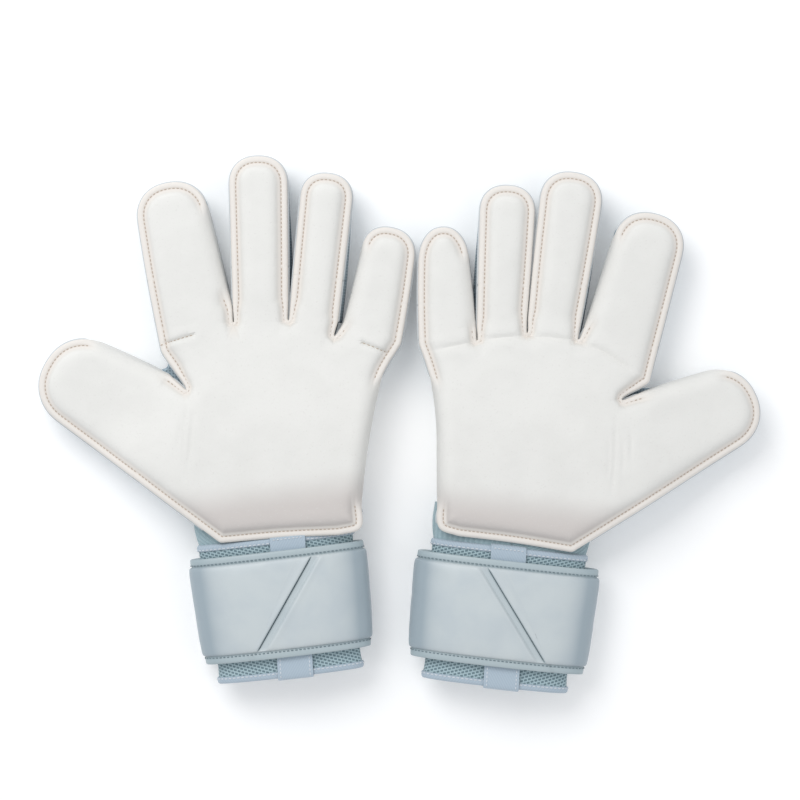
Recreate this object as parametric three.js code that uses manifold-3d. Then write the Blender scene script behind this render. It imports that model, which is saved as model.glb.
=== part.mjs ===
// A pair of goalkeeper gloves lying palm up on their backs, fingers towards +Y.
// Each glove is a backhand tray with a palm foam over it, four fingers in two segments, a thumb,
// a knitted cuff and a wrap strap whose tail closes on the back with hook and loop.
// Units are millimetres. The origin is on the ground at the middle of the pair, under both gloves.
import * as THREE from "three";
import { mergeVertices } from "three/addons/utils/BufferGeometryUtils.js";
import Module from "manifold-3d";

const wasm = await Module();
wasm.setup();

// Heights and thicknesses shared by both gloves.
const FOAM = 7; // latex palm foam on its backing
const FOAM_UNDERSIDE = 19.3; // over the fingers
const HEEL_UNDERSIDE = 27.3; // over the cuff
const BACK = 4; // padded backhand
const WALL = 3; // side gusset
const FLANGE = 2.5; // sewn foam edge that stands past the gusset
const GAP = 0.3; // clearance between neighbouring pieces
const WEB = -12; // webs between fingers, measured along a finger from its root hinge
const NOTCH = 6; // half the foam gap at a finger hinge
const THUMB_NOTCH = 5;
const WEB_Y = 52; // where the palm foam is level with the finger foam
const HEEL_Y = -63;
const PALM_SLOPE = (HEEL_UNDERSIDE - FOAM_UNDERSIDE) / (WEB_Y - HEEL_Y);
const ROUND_TIP = 2.3; // exponent of the fingertip's superellipse
const ARC_STEPS = 8; // facets of each half round
const KNUCKLE_LEAN = -4.4; // direction that the hand points, shared by the root hinges

// The cuff and strap, across (u) and along (v) the forearm from the strap's middle.
const STRAP = { half: 27.5, low: 4.8, high: 32, side: 4.5, under: 3 };
const CUFF = { half: 37.5, low: 8.1, high: 26.2, wall: 2, bottom: -38, top: 34 };
const BINDING = { height: 3.5, thick: 0.6 };
const TAB_HALF = 8; // half the pull tab's width
const TAIL = { hinge: -38, end: 27, half: 27, thick: 2.5, corner: 9 };
const HOOK = { from: -8, to: 24, half: 19, low: 2.8, high: 3.6 };
const LOOP = { from: -30, to: 25, half: 20, low: 3.9, high: 4.5 };
const HAND_START = 44; // the backhand begins here, along v
const HEEL_EDGE = 35.5; // the palm foam begins here, along v
const WRIST_MOUTH = { half: 32.5, depth: 12 }; // opening of the backhand towards the cuff
const WEB_GUSSET_TOP = 17;
const REACH = 200; // further than any piece goes, for cutting tools
const CENTRING = [0.6, 3]; // from the patterns' origin, between the gloves, to the pair's middle

// Hand patterns, thumb towards -X. A finger has its root hinge, its lean from +Y (towards +X),
// its length past the hinge, its second hinge, and half widths at web, middle and tip.
const LEFT = {
  name: "left",
  mirror: 1,
  wrist: { centre: [-61.4, -95.2], lean: -6.6, half: 45.5, tab: 5 },
  webs: [[-111, 16], [-86.8, 49.8], [-58.4, 51], [-34.5, 43]],
  fingers: {
    thumb: {
      root: [-131.5, -1.4], lean: -59, length: 61,
      thumbSide: [28, 25, 21],
      littleSide: [28, 25, 20],
    },
    index: {
      root: [-109.7, 61.9], lean: -11, length: 62, bend: 28,
      thumbSide: [19.3, 19, 17.5],
      littleSide: [21.2, 19.6, 17.4],
    },
    middle: {
      root: [-72.8, 62.7], lean: -1.2, length: 74, bend: 33,
      thumbSide: [14.2, 14.6, 14.8],
      littleSide: [14, 14.8, 15.2],
    },
    ring: {
      root: [-44.4, 59], lean: 5.8, length: 69, bend: 30,
      thumbSide: [12.6, 13, 13.2],
      littleSide: [12.4, 13, 13.6],
    },
    little: {
      root: [-13.6, 52.3], lean: 11, length: 48, bend: 20,
      thumbSide: [16, 14, 13.2],
      littleSide: [15.4, 15.2, 12.2],
    },
  },
  heel: { thumb: [-93.1, -63.7], little: [-31.5, -59.5], corner: [-20.5, -56] },
  outside: [[-20.4, -42], [-18.4, -22], [-15.6, -4], [-12.4, 12], [-9, 24]],
};
const RIGHT = {
  name: "right",
  mirror: -1,
  wrist: { centre: [-53.1, -100.3], lean: -6.4, half: 47.5, tab: -1 },
  webs: [[-114.7, 10.7], [-92.4, 41], [-65.9, 44.4], [-39.8, 40.4]],
  fingers: {
    thumb: {
      root: [-133.9, -10.3], lean: -65, length: 55.5,
      thumbSide: [27, 23, 18.5],
      littleSide: [27, 23.5, 18],
    },
    index: {
      root: [-117.5, 46.4], lean: -14.5, length: 62, bend: 28,
      thumbSide: [18, 18, 17.8],
      littleSide: [22.2, 19.4, 17.6],
    },
    middle: {
      root: [-80.4, 54.8], lean: -7.9, length: 74, bend: 33,
      thumbSide: [13, 15, 16],
      littleSide: [13.2, 15, 16],
    },
    ring: {
      root: [-53.1, 54.5], lean: -2.5, length: 67, bend: 30,
      thumbSide: [12.2, 13.6, 14.4],
      littleSide: [12.8, 13.6, 14],
    },
    little: {
      root: [-24.4, 49.8], lean: 3, length: 50, bend: 21,
      thumbSide: [15, 14, 11.6],
      littleSide: [13.6, 14.2, 10.6],
    },
  },
  heel: { thumb: [-88.8, -68.5], little: [-29.5, -60], corner: [-20, -56] },
  outside: [[-19.4, -40], [-19, -22], [-18, -4], [-17.4, 12], [-15, 26]],
};

const COLOURS = {
  foam: { color: 0xecebe6, roughness: 0.75, metalness: 0 },
  back: { color: 0x9fb4b8, roughness: 0.7, metalness: 0 },
  web: { color: 0x88a2aa, roughness: 0.85, metalness: 0 },
  knit: { color: 0x86a5a8, roughness: 0.9, metalness: 0 },
  tape: { color: 0xb4c6d4, roughness: 0.7, metalness: 0 },
  strap: { color: 0xb2c0c6, roughness: 0.55, metalness: 0 },
  hook: { color: 0x8d979b, roughness: 0.9, metalness: 0 },
};
const MATERIALS = Object.fromEntries(
  Object.entries(COLOURS).map(([slot, look]) => [slot, new THREE.MeshStandardMaterial(look)]),
);

// ---- Solids ----

// An upright prism over an outline of [x, y] points.
function prism(outline, bottom, top) {
  const shape = new THREE.Shape(outline.map(([x, y]) => new THREE.Vector2(x, y)));
  const geometry = new THREE.ExtrudeGeometry(shape, { depth: top - bottom, bevelEnabled: false });
  return geometry.translate(0, 0, bottom);
}

function toManifold(geometry) {
  const bare = new THREE.BufferGeometry();
  bare.setAttribute("position", geometry.getAttribute("position"));
  bare.setIndex(geometry.getIndex());
  const merged = mergeVertices(bare, 1e-4);
  return new wasm.Manifold(
    new wasm.Mesh({
      numProp: 3,
      vertProperties: new Float32Array(merged.attributes.position.array),
      triVerts: new Uint32Array(merged.index.array),
    }),
  );
}

function toGeometry(manifold) {
  const mesh = manifold.getMesh();
  const geometry = new THREE.BufferGeometry();
  geometry.setAttribute("position", new THREE.BufferAttribute(mesh.vertProperties, 3));
  geometry.setIndex(new THREE.BufferAttribute(mesh.triVerts, 1));
  geometry.computeVertexNormals();
  return geometry;
}

const joined = (outlines, bottom, top) =>
  outlines.map((outline) => toManifold(prism(outline, bottom, top))).reduce((all, one) => all.add(one));

function piece(name, geometry, material) {
  const mesh = new THREE.Mesh(geometry, MATERIALS[material].clone());
  mesh.name = name;
  return mesh;
}

// ---- Outlines ----

const radians = THREE.MathUtils.degToRad;

// A value that runs smoothly through three stations as t goes from 0 to 1.
const through = ([a, b, c], t) => a * (1 - t) * (1 - 2 * t) + 4 * b * t * (1 - t) + c * t * (2 * t - 1);

// Half the finger's width on one side, at a distance along it, closing to nothing at the tip.
function halfWidth(finger, side, along, inset) {
  const width = through(side, (along - WEB) / (finger.length - WEB)) - inset;
  const round = side[2];
  const past = (along - (finger.length - inset - round)) / round;
  return past <= 0 ? width : width * Math.max(0, 1 - past ** ROUND_TIP) ** (1 / ROUND_TIP);
}

// Distances along a finger at which its outline needs a point.
function stations(finger, from, to, inset) {
  const end = Math.min(to, finger.length - inset);
  const round = Math.max(from, finger.length - inset - finger.thumbSide[2]);
  if (end < finger.length - inset) return [from, end];
  const straight = [0, 0.35, 0.7].map((t) => from + (round - from) * t);
  const curved = [...Array(9)].map((_, i) => round + (end - round) * Math.sin((i / 8) * (Math.PI / 2)));
  return [...straight, ...curved];
}

// The outline of a stretch of finger in its own frame: x across, y along from the root hinge.
// rootSkew slants the end that meets the palm, so that it runs along the knuckles.
function fingerOutline(finger, from, to, inset, rootSkew = 0) {
  const steps = stations(finger, from, to, inset);
  const edge = (side, sign) =>
    steps.map((along) => {
      const across = sign * halfWidth(finger, side, along, inset);
      return [across, along === from ? along + across * rootSkew : along];
    });
  const right = edge(finger.littleSide, 1);
  const left = edge(finger.thumbSide, -1).reverse();
  const closes = to >= finger.length - inset;
  return closes ? [...right, ...left.slice(1)] : [...right, ...left];
}

// A point given across and along a finger, in the glove's frame.
function onGlove(finger, [across, along]) {
  const lean = radians(finger.lean);
  return [
    finger.root[0] + across * Math.cos(lean) + along * Math.sin(lean),
    finger.root[1] - across * Math.sin(lean) + along * Math.cos(lean),
  ];
}

const skewOf = (finger) => (finger.bend ? Math.tan(radians(finger.lean - KNUCKLE_LEAN)) : 0);

// A stretch of finger laid into the glove's frame, slanted at both ends along the knuckles.
function lobe(finger, from, to, inset) {
  const skew = skewOf(finger);
  const corner = (side, sign, along) => {
    const across = sign * halfWidth(finger, side, along, inset);
    return onGlove(finger, [across, along + across * skew]);
  };
  return [
    corner(finger.littleSide, 1, from),
    corner(finger.littleSide, 1, to),
    corner(finger.thumbSide, -1, to),
    corner(finger.thumbSide, -1, from),
  ];
}

// The palm between heel and webs, without the finger lobes.
function palmCore(hand) {
  const { thumb, index, little } = hand.fingers;
  const outside = new THREE.SplineCurve(
    [onGlove(little, [little.littleSide[0] + 0.4, WEB + 2]), ...hand.outside.slice().reverse()].map(
      ([x, y]) => new THREE.Vector2(x, y),
    ),
  ).getPoints(6);
  const corner = new THREE.QuadraticBezierCurve(
    new THREE.Vector2(...hand.outside[0]),
    new THREE.Vector2(...hand.heel.corner),
    new THREE.Vector2(...hand.heel.little),
  ).getPoints(6);
  return [
    hand.heel.thumb,
    onGlove(thumb, [-thumb.thumbSide[0], WEB]),
    hand.webs[0],
    onGlove(index, [-index.thumbSide[0], WEB - 14]),
    onGlove(index, [-index.thumbSide[0], WEB]),
    ...hand.webs.slice(1),
    ...outside.map((p) => [p.x, p.y]),
    ...corner.slice(1).map((p) => [p.x, p.y]),
  ];
}

// Moves each corner of an outline inwards, square to the edges that meet there.
function shrink(outline, distance) {
  const count = outline.length;
  const area = outline.reduce((sum, [x, y], i) => {
    const [nx, ny] = outline[(i + 1) % count];
    return sum + x * ny - nx * y;
  }, 0);
  const inwards = Math.sign(area) * distance;
  const normal = ([ax, ay], [bx, by]) => {
    const length = Math.hypot(bx - ax, by - ay);
    return [-(by - ay) / length, (bx - ax) / length];
  };
  return outline.map((point, i) => {
    const before = normal(outline[(i + count - 1) % count], point);
    const after = normal(point, outline[(i + 1) % count]);
    const sum = [before[0] + after[0], before[1] + after[1]];
    const reach = Math.max(0.6, (sum[0] ** 2 + sum[1] ** 2) / 2);
    return [point[0] + (inwards * sum[0]) / reach, point[1] + (inwards * sum[1]) / reach];
  });
}

const rectangle = (x0, x1, y0, y1) => [[x0, y0], [x1, y0], [x1, y1], [x0, y1]];

// A wide rounded rectangle in the cuff's cross-section: across u, between two heights.
function oval(half, low, high) {
  const radius = (high - low) / 2;
  const middle = (high + low) / 2;
  const path = new THREE.Path();
  path.absarc(half - radius, middle, radius, -Math.PI / 2, Math.PI / 2, false);
  path.absarc(radius - half, middle, radius, Math.PI / 2, (3 * Math.PI) / 2, false);
  return path;
}

// A ring round the forearm between two distances along it.
function ring(outer, inner, from, to) {
  const shape = new THREE.Shape(outer.getPoints(ARC_STEPS));
  shape.holes.push(inner);
  const geometry = new THREE.ExtrudeGeometry(shape, {
    depth: to - from,
    bevelEnabled: false,
    curveSegments: ARC_STEPS,
  });
  return geometry.rotateX(Math.PI / 2).translate(0, to, 0);
}

// ---- Pieces of a glove ----

// Lifts a piece so that it follows the palm, which rises from the webs to the heel.
const palmTilt = new THREE.Matrix4().set(
  1, 0, 0, 0,
  0, 1, 0, 0,
  0, -PALM_SLOPE, 1, PALM_SLOPE * WEB_Y,
  0, 0, 0, 1,
);

function wristPlace(hand) {
  const place = new THREE.Matrix4().makeRotationZ(-radians(hand.wrist.lean));
  return place.setPosition(hand.wrist.centre[0], hand.wrist.centre[1], 0);
}

// A block across the forearm, from half a width to the other and between two distances along it.
function acrossWrist(hand, half, from, to, bottom) {
  return toManifold(prism(rectangle(-half, half, from, to), bottom, REACH).applyMatrix4(wristPlace(hand)));
}

const belowWrist = (hand, along) => acrossWrist(hand, REACH, -REACH, along, -REACH);

function palmFoam(hand, core) {
  const lobes = Object.values(hand.fingers).map((f) => lobe(f, WEB - 2, f.bend ? -NOTCH : -THUMB_NOTCH, 0));
  const level = toGeometry(joined([core, ...lobes], FOAM_UNDERSIDE, FOAM_UNDERSIDE + FOAM));
  return toManifold(level.applyMatrix4(palmTilt)).subtract(belowWrist(hand, HEEL_EDGE));
}

// The backhand with its side gussets: a tray that is open towards the fingers and the cuff.
function backTray(hand, core) {
  const fingers = Object.values(hand.fingers);
  const inset = FLANGE + WALL;
  const solidLobes = fingers.map((f) => lobe(f, WEB - inset, -GAP, FLANGE));
  const hollowLobes = fingers.map((f) => lobe(f, WEB - 2 * inset, NOTCH, inset));
  const solid = joined([shrink(core, FLANGE), ...solidLobes], 0, HEEL_UNDERSIDE + FOAM);
  const hollow = joined([shrink(core, inset), ...hollowLobes], BACK, REACH);
  const mouth = acrossWrist(hand, WRIST_MOUTH.half, 0, HAND_START + WRIST_MOUTH.depth, BACK);
  const everywhere = rectangle(-REACH, REACH, -REACH, REACH);
  const overFoam = toManifold(prism(everywhere, FOAM_UNDERSIDE - GAP, REACH).applyMatrix4(palmTilt));
  return [hollow, mouth, overFoam, belowWrist(hand, HAND_START)].reduce((tray, cut) => tray.subtract(cut), solid);
}

// The mesh gusset that fills the crotch between thumb and index finger.
function thumbWeb(hand, core) {
  const { thumb, index } = hand.fingers;
  const [x, y] = hand.webs[0];
  const outline = [
    [x + 0.6, y + 0.8],
    onGlove(index, [0.5 - index.thumbSide[0], WEB - 16]),
    onGlove(thumb, [thumb.littleSide[0] - 1.5, 8]),
  ];
  return joined([outline], BACK, WEB_GUSSET_TOP).subtract(joined([shrink(core, FLANGE)], 0, REACH));
}

function handPieces(hand) {
  const core = palmCore(hand);
  return [
    piece(`${hand.name}_palm_foam`, toGeometry(palmFoam(hand, core)), "foam"),
    piece(`${hand.name}_back_panel`, toGeometry(backTray(hand, core)), "back"),
    piece(`${hand.name}_thumb_web`, toGeometry(thumbWeb(hand, core)), "web"),
  ];
}

// One segment of a finger: a hollow back with its side gussets, and the foam over it, which starts
// and ends a notch short of the hinges so that the segments can fold.
function segment(name, finger, from, to, skew, notch) {
  const closes = to >= finger.length;
  const [start, end] = [from + GAP, closes ? to : to - GAP];
  const [hollowStart, hollowEnd] = [from - WALL, closes ? to : to + WALL];
  const [foamStart, foamEnd] = [from + notch, closes ? to : to - notch];
  const solid = joined([fingerOutline(finger, start, end, FLANGE, skew)], 0, FOAM_UNDERSIDE - GAP);
  const hollow = joined([fingerOutline(finger, hollowStart, hollowEnd, FLANGE + WALL, skew)], BACK, REACH);
  const foamShape = fingerOutline(finger, foamStart, foamEnd, GAP, skew);
  return [
    piece(`${name}_foam`, prism(foamShape, FOAM_UNDERSIDE, FOAM_UNDERSIDE + FOAM), "foam"),
    piece(`${name}_back`, toGeometry(solid.subtract(hollow)), "back"),
  ];
}

function fingerGroup(hand, name, finger) {
  const title = `${hand.name}_${name}`;
  const { bend, length } = finger;
  const group = new THREE.Group();
  group.position.set(...finger.root, 0);
  group.rotation.z = -radians(finger.lean);
  if (bend) {
    group.add(...segment(`${title}_base`, finger, 0, bend, skewOf(finger), NOTCH));
    group.add(...segment(`${title}_tip`, finger, bend, length, 0, NOTCH));
  } else {
    group.add(...segment(title, finger, 0, length, 0, THUMB_NOTCH));
  }
  return group;
}

function cuffPieces(hand) {
  const { name } = hand;
  const { half, tab } = hand.wrist;
  const { bottom, top, wall } = CUFF;
  const around = (grow) => oval(CUFF.half + grow, CUFF.low - grow, CUFF.high + grow);
  const tube = (from, to) => ring(around(0), around(-wall), from, to);
  const tape = (from, to) => ring(around(GAP + BINDING.thick), around(GAP), from, to);
  const wrap = oval(half, STRAP.low, STRAP.high);
  const hole = oval(half - STRAP.side, STRAP.low + STRAP.under, STRAP.high - STRAP.side);
  const [tapeEnd, tapeStart] = [bottom + BINDING.height, top - BINDING.height];
  const tabShape = rectangle(tab - TAB_HALF, tab + TAB_HALF, tapeEnd + GAP, tapeStart - GAP);
  const tabUnder = CUFF.high + GAP;
  const loopShape = rectangle(LOOP.from, LOOP.to, -LOOP.half, LOOP.half);
  return [
    piece(`${name}_cuff_mesh`, tube(bottom, top), "knit"),
    piece(`${name}_wrist_elastic`, tube(top + GAP, HAND_START - GAP), "knit"),
    piece(`${name}_cuff_lower_binding`, tape(bottom, tapeEnd), "tape"),
    piece(`${name}_cuff_upper_binding`, tape(tapeStart, top), "tape"),
    piece(`${name}_pull_tab`, prism(tabShape, tabUnder, tabUnder + BINDING.thick), "tape"),
    piece(`${name}_strap_wrap`, ring(wrap, hole, -STRAP.half, STRAP.half), "strap"),
    piece(`${name}_loop_patch`, prism(loopShape, LOOP.low, LOOP.high), "hook"),
  ];
}

// The strap's free end, flat under the wrist, with the hook patch on its inner face.
function tailPieces(hand) {
  const { hinge, end, half, thick, corner } = TAIL;
  const shape = new THREE.Shape();
  shape.moveTo(hinge, -half);
  shape.lineTo(end - corner, -half);
  shape.absarc(end - corner, corner - half, corner, -Math.PI / 2, 0, false);
  shape.absarc(end - corner, half - corner, corner, 0, Math.PI / 2, false);
  shape.lineTo(hinge, half);
  const tail = new THREE.ExtrudeGeometry(shape, { depth: thick, bevelEnabled: false, curveSegments: ARC_STEPS });
  const hookShape = rectangle(HOOK.from, HOOK.to, -HOOK.half, HOOK.half);
  return [
    piece(`${hand.name}_strap_tail`, tail, "strap"),
    piece(`${hand.name}_hook_patch`, prism(hookShape, HOOK.low, HOOK.high), "hook"),
  ];
}

function makeGlove(hand) {
  const glove = new THREE.Group();
  glove.scale.x = hand.mirror;
  glove.add(...handPieces(hand));
  for (const [name, finger] of Object.entries(hand.fingers)) glove.add(fingerGroup(hand, name, finger));
  const wrist = new THREE.Group();
  wrist.position.set(...hand.wrist.centre, 0);
  wrist.rotation.z = -radians(hand.wrist.lean);
  wrist.add(...cuffPieces(hand), ...tailPieces(hand));
  glove.add(wrist);
  return glove;
}

const pair = new THREE.Group();
pair.position.set(...CENTRING, 0);
pair.add(makeGlove(LEFT), makeGlove(RIGHT));

export default pair;
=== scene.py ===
"""A pair of goalkeeper gloves lying palm up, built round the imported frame."""
import math

import bpy
import numpy as np
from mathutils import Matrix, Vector
from mathutils.geometry import delaunay_2d_cdt
from mathutils.kdtree import KDTree


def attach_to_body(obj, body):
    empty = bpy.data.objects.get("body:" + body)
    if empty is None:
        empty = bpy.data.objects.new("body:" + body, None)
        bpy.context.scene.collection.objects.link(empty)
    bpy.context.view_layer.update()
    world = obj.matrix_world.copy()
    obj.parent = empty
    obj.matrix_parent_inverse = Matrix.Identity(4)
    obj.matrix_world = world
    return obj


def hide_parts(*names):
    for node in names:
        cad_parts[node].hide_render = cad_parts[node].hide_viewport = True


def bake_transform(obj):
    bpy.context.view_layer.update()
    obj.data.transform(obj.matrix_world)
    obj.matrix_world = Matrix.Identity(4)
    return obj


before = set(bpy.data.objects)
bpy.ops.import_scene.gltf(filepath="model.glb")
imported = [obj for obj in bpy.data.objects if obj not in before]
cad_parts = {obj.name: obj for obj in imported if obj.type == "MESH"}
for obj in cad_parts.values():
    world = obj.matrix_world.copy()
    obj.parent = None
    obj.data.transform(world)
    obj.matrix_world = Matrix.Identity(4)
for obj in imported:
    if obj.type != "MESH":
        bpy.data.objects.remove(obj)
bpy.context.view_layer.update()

# ---- Driving dimensions, in millimetres, on left hand patterns with the thumb towards -X ----

MM = 0.001
CENTRING = (0.6, 3.0)  # from the patterns' origin, between the gloves, to the pair's middle
WEB = -12.0  # webs between fingers, along a finger from its root hinge
KNUCKLE_LEAN = -4.4
FINGER_TOP = 26.3
ROUND_TIP = 2.3  # exponent of the fingertip's superellipse

LEFT = {
    "name": "left",
    "mirror": 1,
    "wrist": {"centre": (-61.4, -95.2), "lean": -6.6, "half": 45.2, "flare": 1.15, "tab": 5.0,
              "channel": ((20.8, 23.3), (-14.7, -25.2))},
    "webs": [(-111, 16), (-86.8, 49.8), (-58.4, 51), (-34.5, 43)],
    "thumb_gap": (-123.5, 28.7),
    "fingers": {
        "thumb": {"root": (-131.5, -1.4), "lean": -59, "length": 61,
                  "thumb_side": (28, 25, 21), "little_side": (28, 25, 20)},
        "index": {"root": (-109.7, 61.9), "lean": -11, "length": 62, "bend": 28,
                  "thumb_side": (19.3, 19, 17.5), "little_side": (21.2, 19.6, 17.4)},
        "middle": {"root": (-72.8, 62.7), "lean": -1.2, "length": 74, "bend": 33,
                   "thumb_side": (14.2, 14.6, 14.8), "little_side": (14, 14.8, 15.2)},
        "ring": {"root": (-44.4, 59), "lean": 5.8, "length": 69, "bend": 30,
                 "thumb_side": (12.6, 13, 13.2), "little_side": (12.4, 13, 13.6)},
        "little": {"root": (-13.6, 52.3), "lean": 11, "length": 48, "bend": 20,
                   "thumb_side": (16, 14, 13.2), "little_side": (16, 15.2, 13.2)},
    },
    "root_bend": {"index": (-12, 12), "middle": (-11.6, 12), "ring": (-6.9, 12), "little": (-7.5, 6.5)},
    "tip_cut": {"index": 14, "middle": 16.5, "ring": 15, "little": 10.8},
    "heel": {"thumb": (-93.1, -63.7), "little": (-31.5, -59.5), "corner": (-20.5, -56)},
    "outside": [(-20.4, -42), (-18.4, -22), (-15.6, -4), (-12.4, 12), (-9, 24)],
    "creases": [
        {"path": [(-125, 38.4), (-115, 41.6), (-106.9, 43.9)], "depth": 1.5, "width": 0.8, "sewn": True},
        {"path": [(-20, 39.8), (-14, 37.6), (-7, 34.6)], "depth": 1.5, "width": 0.8, "sewn": True},
        {"path": [(-106.5, 7), (-107.6, -9), (-109.6, -30)], "depth": 0.42, "width": 1.0},
        {"path": [(-109.6, 12), (-111.4, -5), (-111.6, -22)], "depth": 0.42, "width": 0.9},
        {"path": [(-113.4, 6), (-113.8, -8), (-115.8, -20)], "depth": 0.34, "width": 0.9},
    ],
    "proud_gussets": {("middle", "little"), ("ring", "little")},
}
RIGHT = {
    "name": "right",
    "mirror": -1,
    "wrist": {"centre": (-53.1, -100.3), "lean": -6.4, "half": 47.2, "flare": 1.1, "tab": -1.0,
              "channel": ((13.4, 23.3), (-23.4, -24.3))},
    "webs": [(-114.7, 10.7), (-92.4, 41), (-65.9, 44.4), (-39.8, 40.4)],
    "thumb_gap": (-127, 16.8),
    "fingers": {
        "thumb": {"root": (-133.9, -10.3), "lean": -65, "length": 55.5,
                  "thumb_side": (27, 23, 18.5), "little_side": (27, 23.5, 18)},
        "index": {"root": (-117.5, 46.4), "lean": -14.5, "length": 62, "bend": 28,
                  "thumb_side": (18, 18, 17.8), "little_side": (22.2, 19.4, 17.6)},
        "middle": {"root": (-80.4, 54.8), "lean": -7.9, "length": 74, "bend": 33,
                   "thumb_side": (13, 15, 16), "little_side": (13.2, 15, 16)},
        "ring": {"root": (-53.1, 54.5), "lean": -2.5, "length": 67, "bend": 30,
                 "thumb_side": (12.2, 13.6, 14.4), "little_side": (12.8, 13.6, 14)},
        "little": {"root": (-24.4, 49.8), "lean": 3, "length": 50, "bend": 21, "round": 18,
                   "thumb_side": (15, 14, 11.6), "little_side": (15.2, 14.2, 11.6)},
    },
    "root_bend": {"index": (-7, 10.5), "middle": (-11.3, 12), "ring": (-9, 12), "little": (-8, 7)},
    "tip_cut": {"index": 14, "middle": 16.5, "ring": 15, "little": 10.5},
    "heel": {"thumb": (-88.8, -68.5), "little": (-29.5, -60), "corner": (-20, -56)},
    "outside": [(-19.4, -40), (-19.3, -22), (-19, -2), (-16.9, 16), (-13.4, 29)],
    "creases": [
        {"path": [(-14.5, 35.4), (-30, 38.6), (-51.7, 42.4), (-70, 43), (-84, 41.6),
                  (-103.7, 35.7), (-124, 21.8)], "depth": 1.1, "width": 1.3},
        {"path": [(-110.8, 2.6), (-110, -20), (-108.2, -42)], "depth": 0.44, "width": 1.0},
        {"path": [(-114, -7), (-114.4, -20), (-113.6, -32)], "depth": 0.36, "width": 0.9},
        {"path": [(-117.9, -3), (-118.6, -12), (-118.3, -24)], "depth": 0.42, "width": 0.9},
        {"path": [(-106.4, -6), (-107, -20), (-106, -34)], "depth": 0.3, "width": 0.9},
    ],
    "proud_gussets": {("middle", "thumb"), ("ring", "little")},
}
FINGERS = ("thumb", "index", "middle", "ring", "little")
KNUCKLED = FINGERS[1:]

# Stretches of a finger's side, along it, where the foam rolls round to the back with no flange.
ROLLED = {("index", "little"): (-1, 46), ("little", "thumb"): (-10, 35), ("thumb", "little"): (3, 45)}
ROLLED_PALM = (-43.0, 19.0)  # the same on the palm's outer edge, along Y

STITCH_PITCH = 2.1
SEAM_DEPTH = 3.2  # the seam's distance from the foam's cut edge

# How far the foam lies below its top, at distances in from its edge.
EDGE_RINGS = (0.45, 1.0, 1.8, 2.5, 2.9, 3.3, 3.8, 4.3, 4.8, 5.4, 6.3, 7.6, 9.2)
FLANGE_DEPTHS = (0.0, 0.45, 1.0, 1.8, 2.5, 2.9, 3.3, 3.8, 4.3, 4.8, 5.4, 6.3, 7.6, 9.2, 11.5)
FLANGE_DROPS = (5.2, 4.5, 4.2, 4.1, 4.2, 4.5, 4.6, 4.0, 3.6, 3.3, 2.6, 1.5, 0.7, 0.25, 0.0)
ROLL_RADIUS = 9.0


# ---- Curves and outlines ----

def smoothstep(x):
    t = np.clip(x, 0.0, 1.0)
    return t * t * (3 - 2 * t)


def spline(points, steps=12):
    """A centripetal Catmull-Rom curve through points, without its last one."""
    p = np.array(points, float)
    p = np.vstack([2 * p[0] - p[1], p, 2 * p[-1] - p[-2]])
    curve = []
    for a, b, c, d in zip(p, p[1:], p[2:], p[3:]):
        t = np.cumsum([0.0] + [max(np.linalg.norm(n - m), 1e-6) ** 0.5 for m, n in ((a, b), (b, c), (c, d))])
        s = np.linspace(t[1], t[2], steps, endpoint=False)[:, None]
        ab = a + (b - a) * (s - t[0]) / (t[1] - t[0])
        bc = b + (c - b) * (s - t[1]) / (t[2] - t[1])
        cd = c + (d - c) * (s - t[2]) / (t[3] - t[2])
        abc = ab + (bc - ab) * (s - t[0]) / (t[2] - t[0])
        bcd = bc + (cd - bc) * (s - t[1]) / (t[3] - t[1])
        curve.append(abc + (bcd - abc) * (s - t[1]) / (t[2] - t[1]))
    return np.vstack(curve)


def axes_of(lean):
    """Unit vectors across and along a finger."""
    angle = math.radians(lean)
    return np.array([math.cos(angle), -math.sin(angle)]), np.array([math.sin(angle), math.cos(angle)])


def on_glove(finger, across, along):
    side, up = axes_of(finger["lean"])
    beside, ahead = np.outer(np.atleast_1d(across), side), np.outer(np.atleast_1d(along), up)
    return np.array(finger["root"]) + beside + ahead


def on_finger(finger, places):
    """(across, along) of places on the glove."""
    side, up = axes_of(finger["lean"])
    away = np.atleast_2d(places) - np.array(finger["root"])
    return away @ side, away @ up


def width_at(finger, side, along):
    a, b, c = finger[side]
    t = np.maximum((along - WEB) / (finger["length"] - WEB), 0)
    return a * (1 - t) * (1 - 2 * t) + 4 * b * t * (1 - t) + c * t * (2 * t - 1)


def finger_edge(finger, side, start):
    """(across, along) up one side of a finger to its tip."""
    reach = finger.get("round", finger[side][2])
    straight = np.arange(start, finger["length"] - reach, 1.0)
    angle = np.linspace(0, math.pi / 2, 22)
    along = np.concatenate([straight, finger["length"] - reach + reach * np.sin(angle) ** (2 / ROUND_TIP)])
    narrowing = np.concatenate([np.ones(len(straight)), np.cos(angle) ** (2 / ROUND_TIP)])
    sign = -1 if side == "thumb_side" else 1
    return sign * width_at(finger, side, along) * narrowing, along


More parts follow.
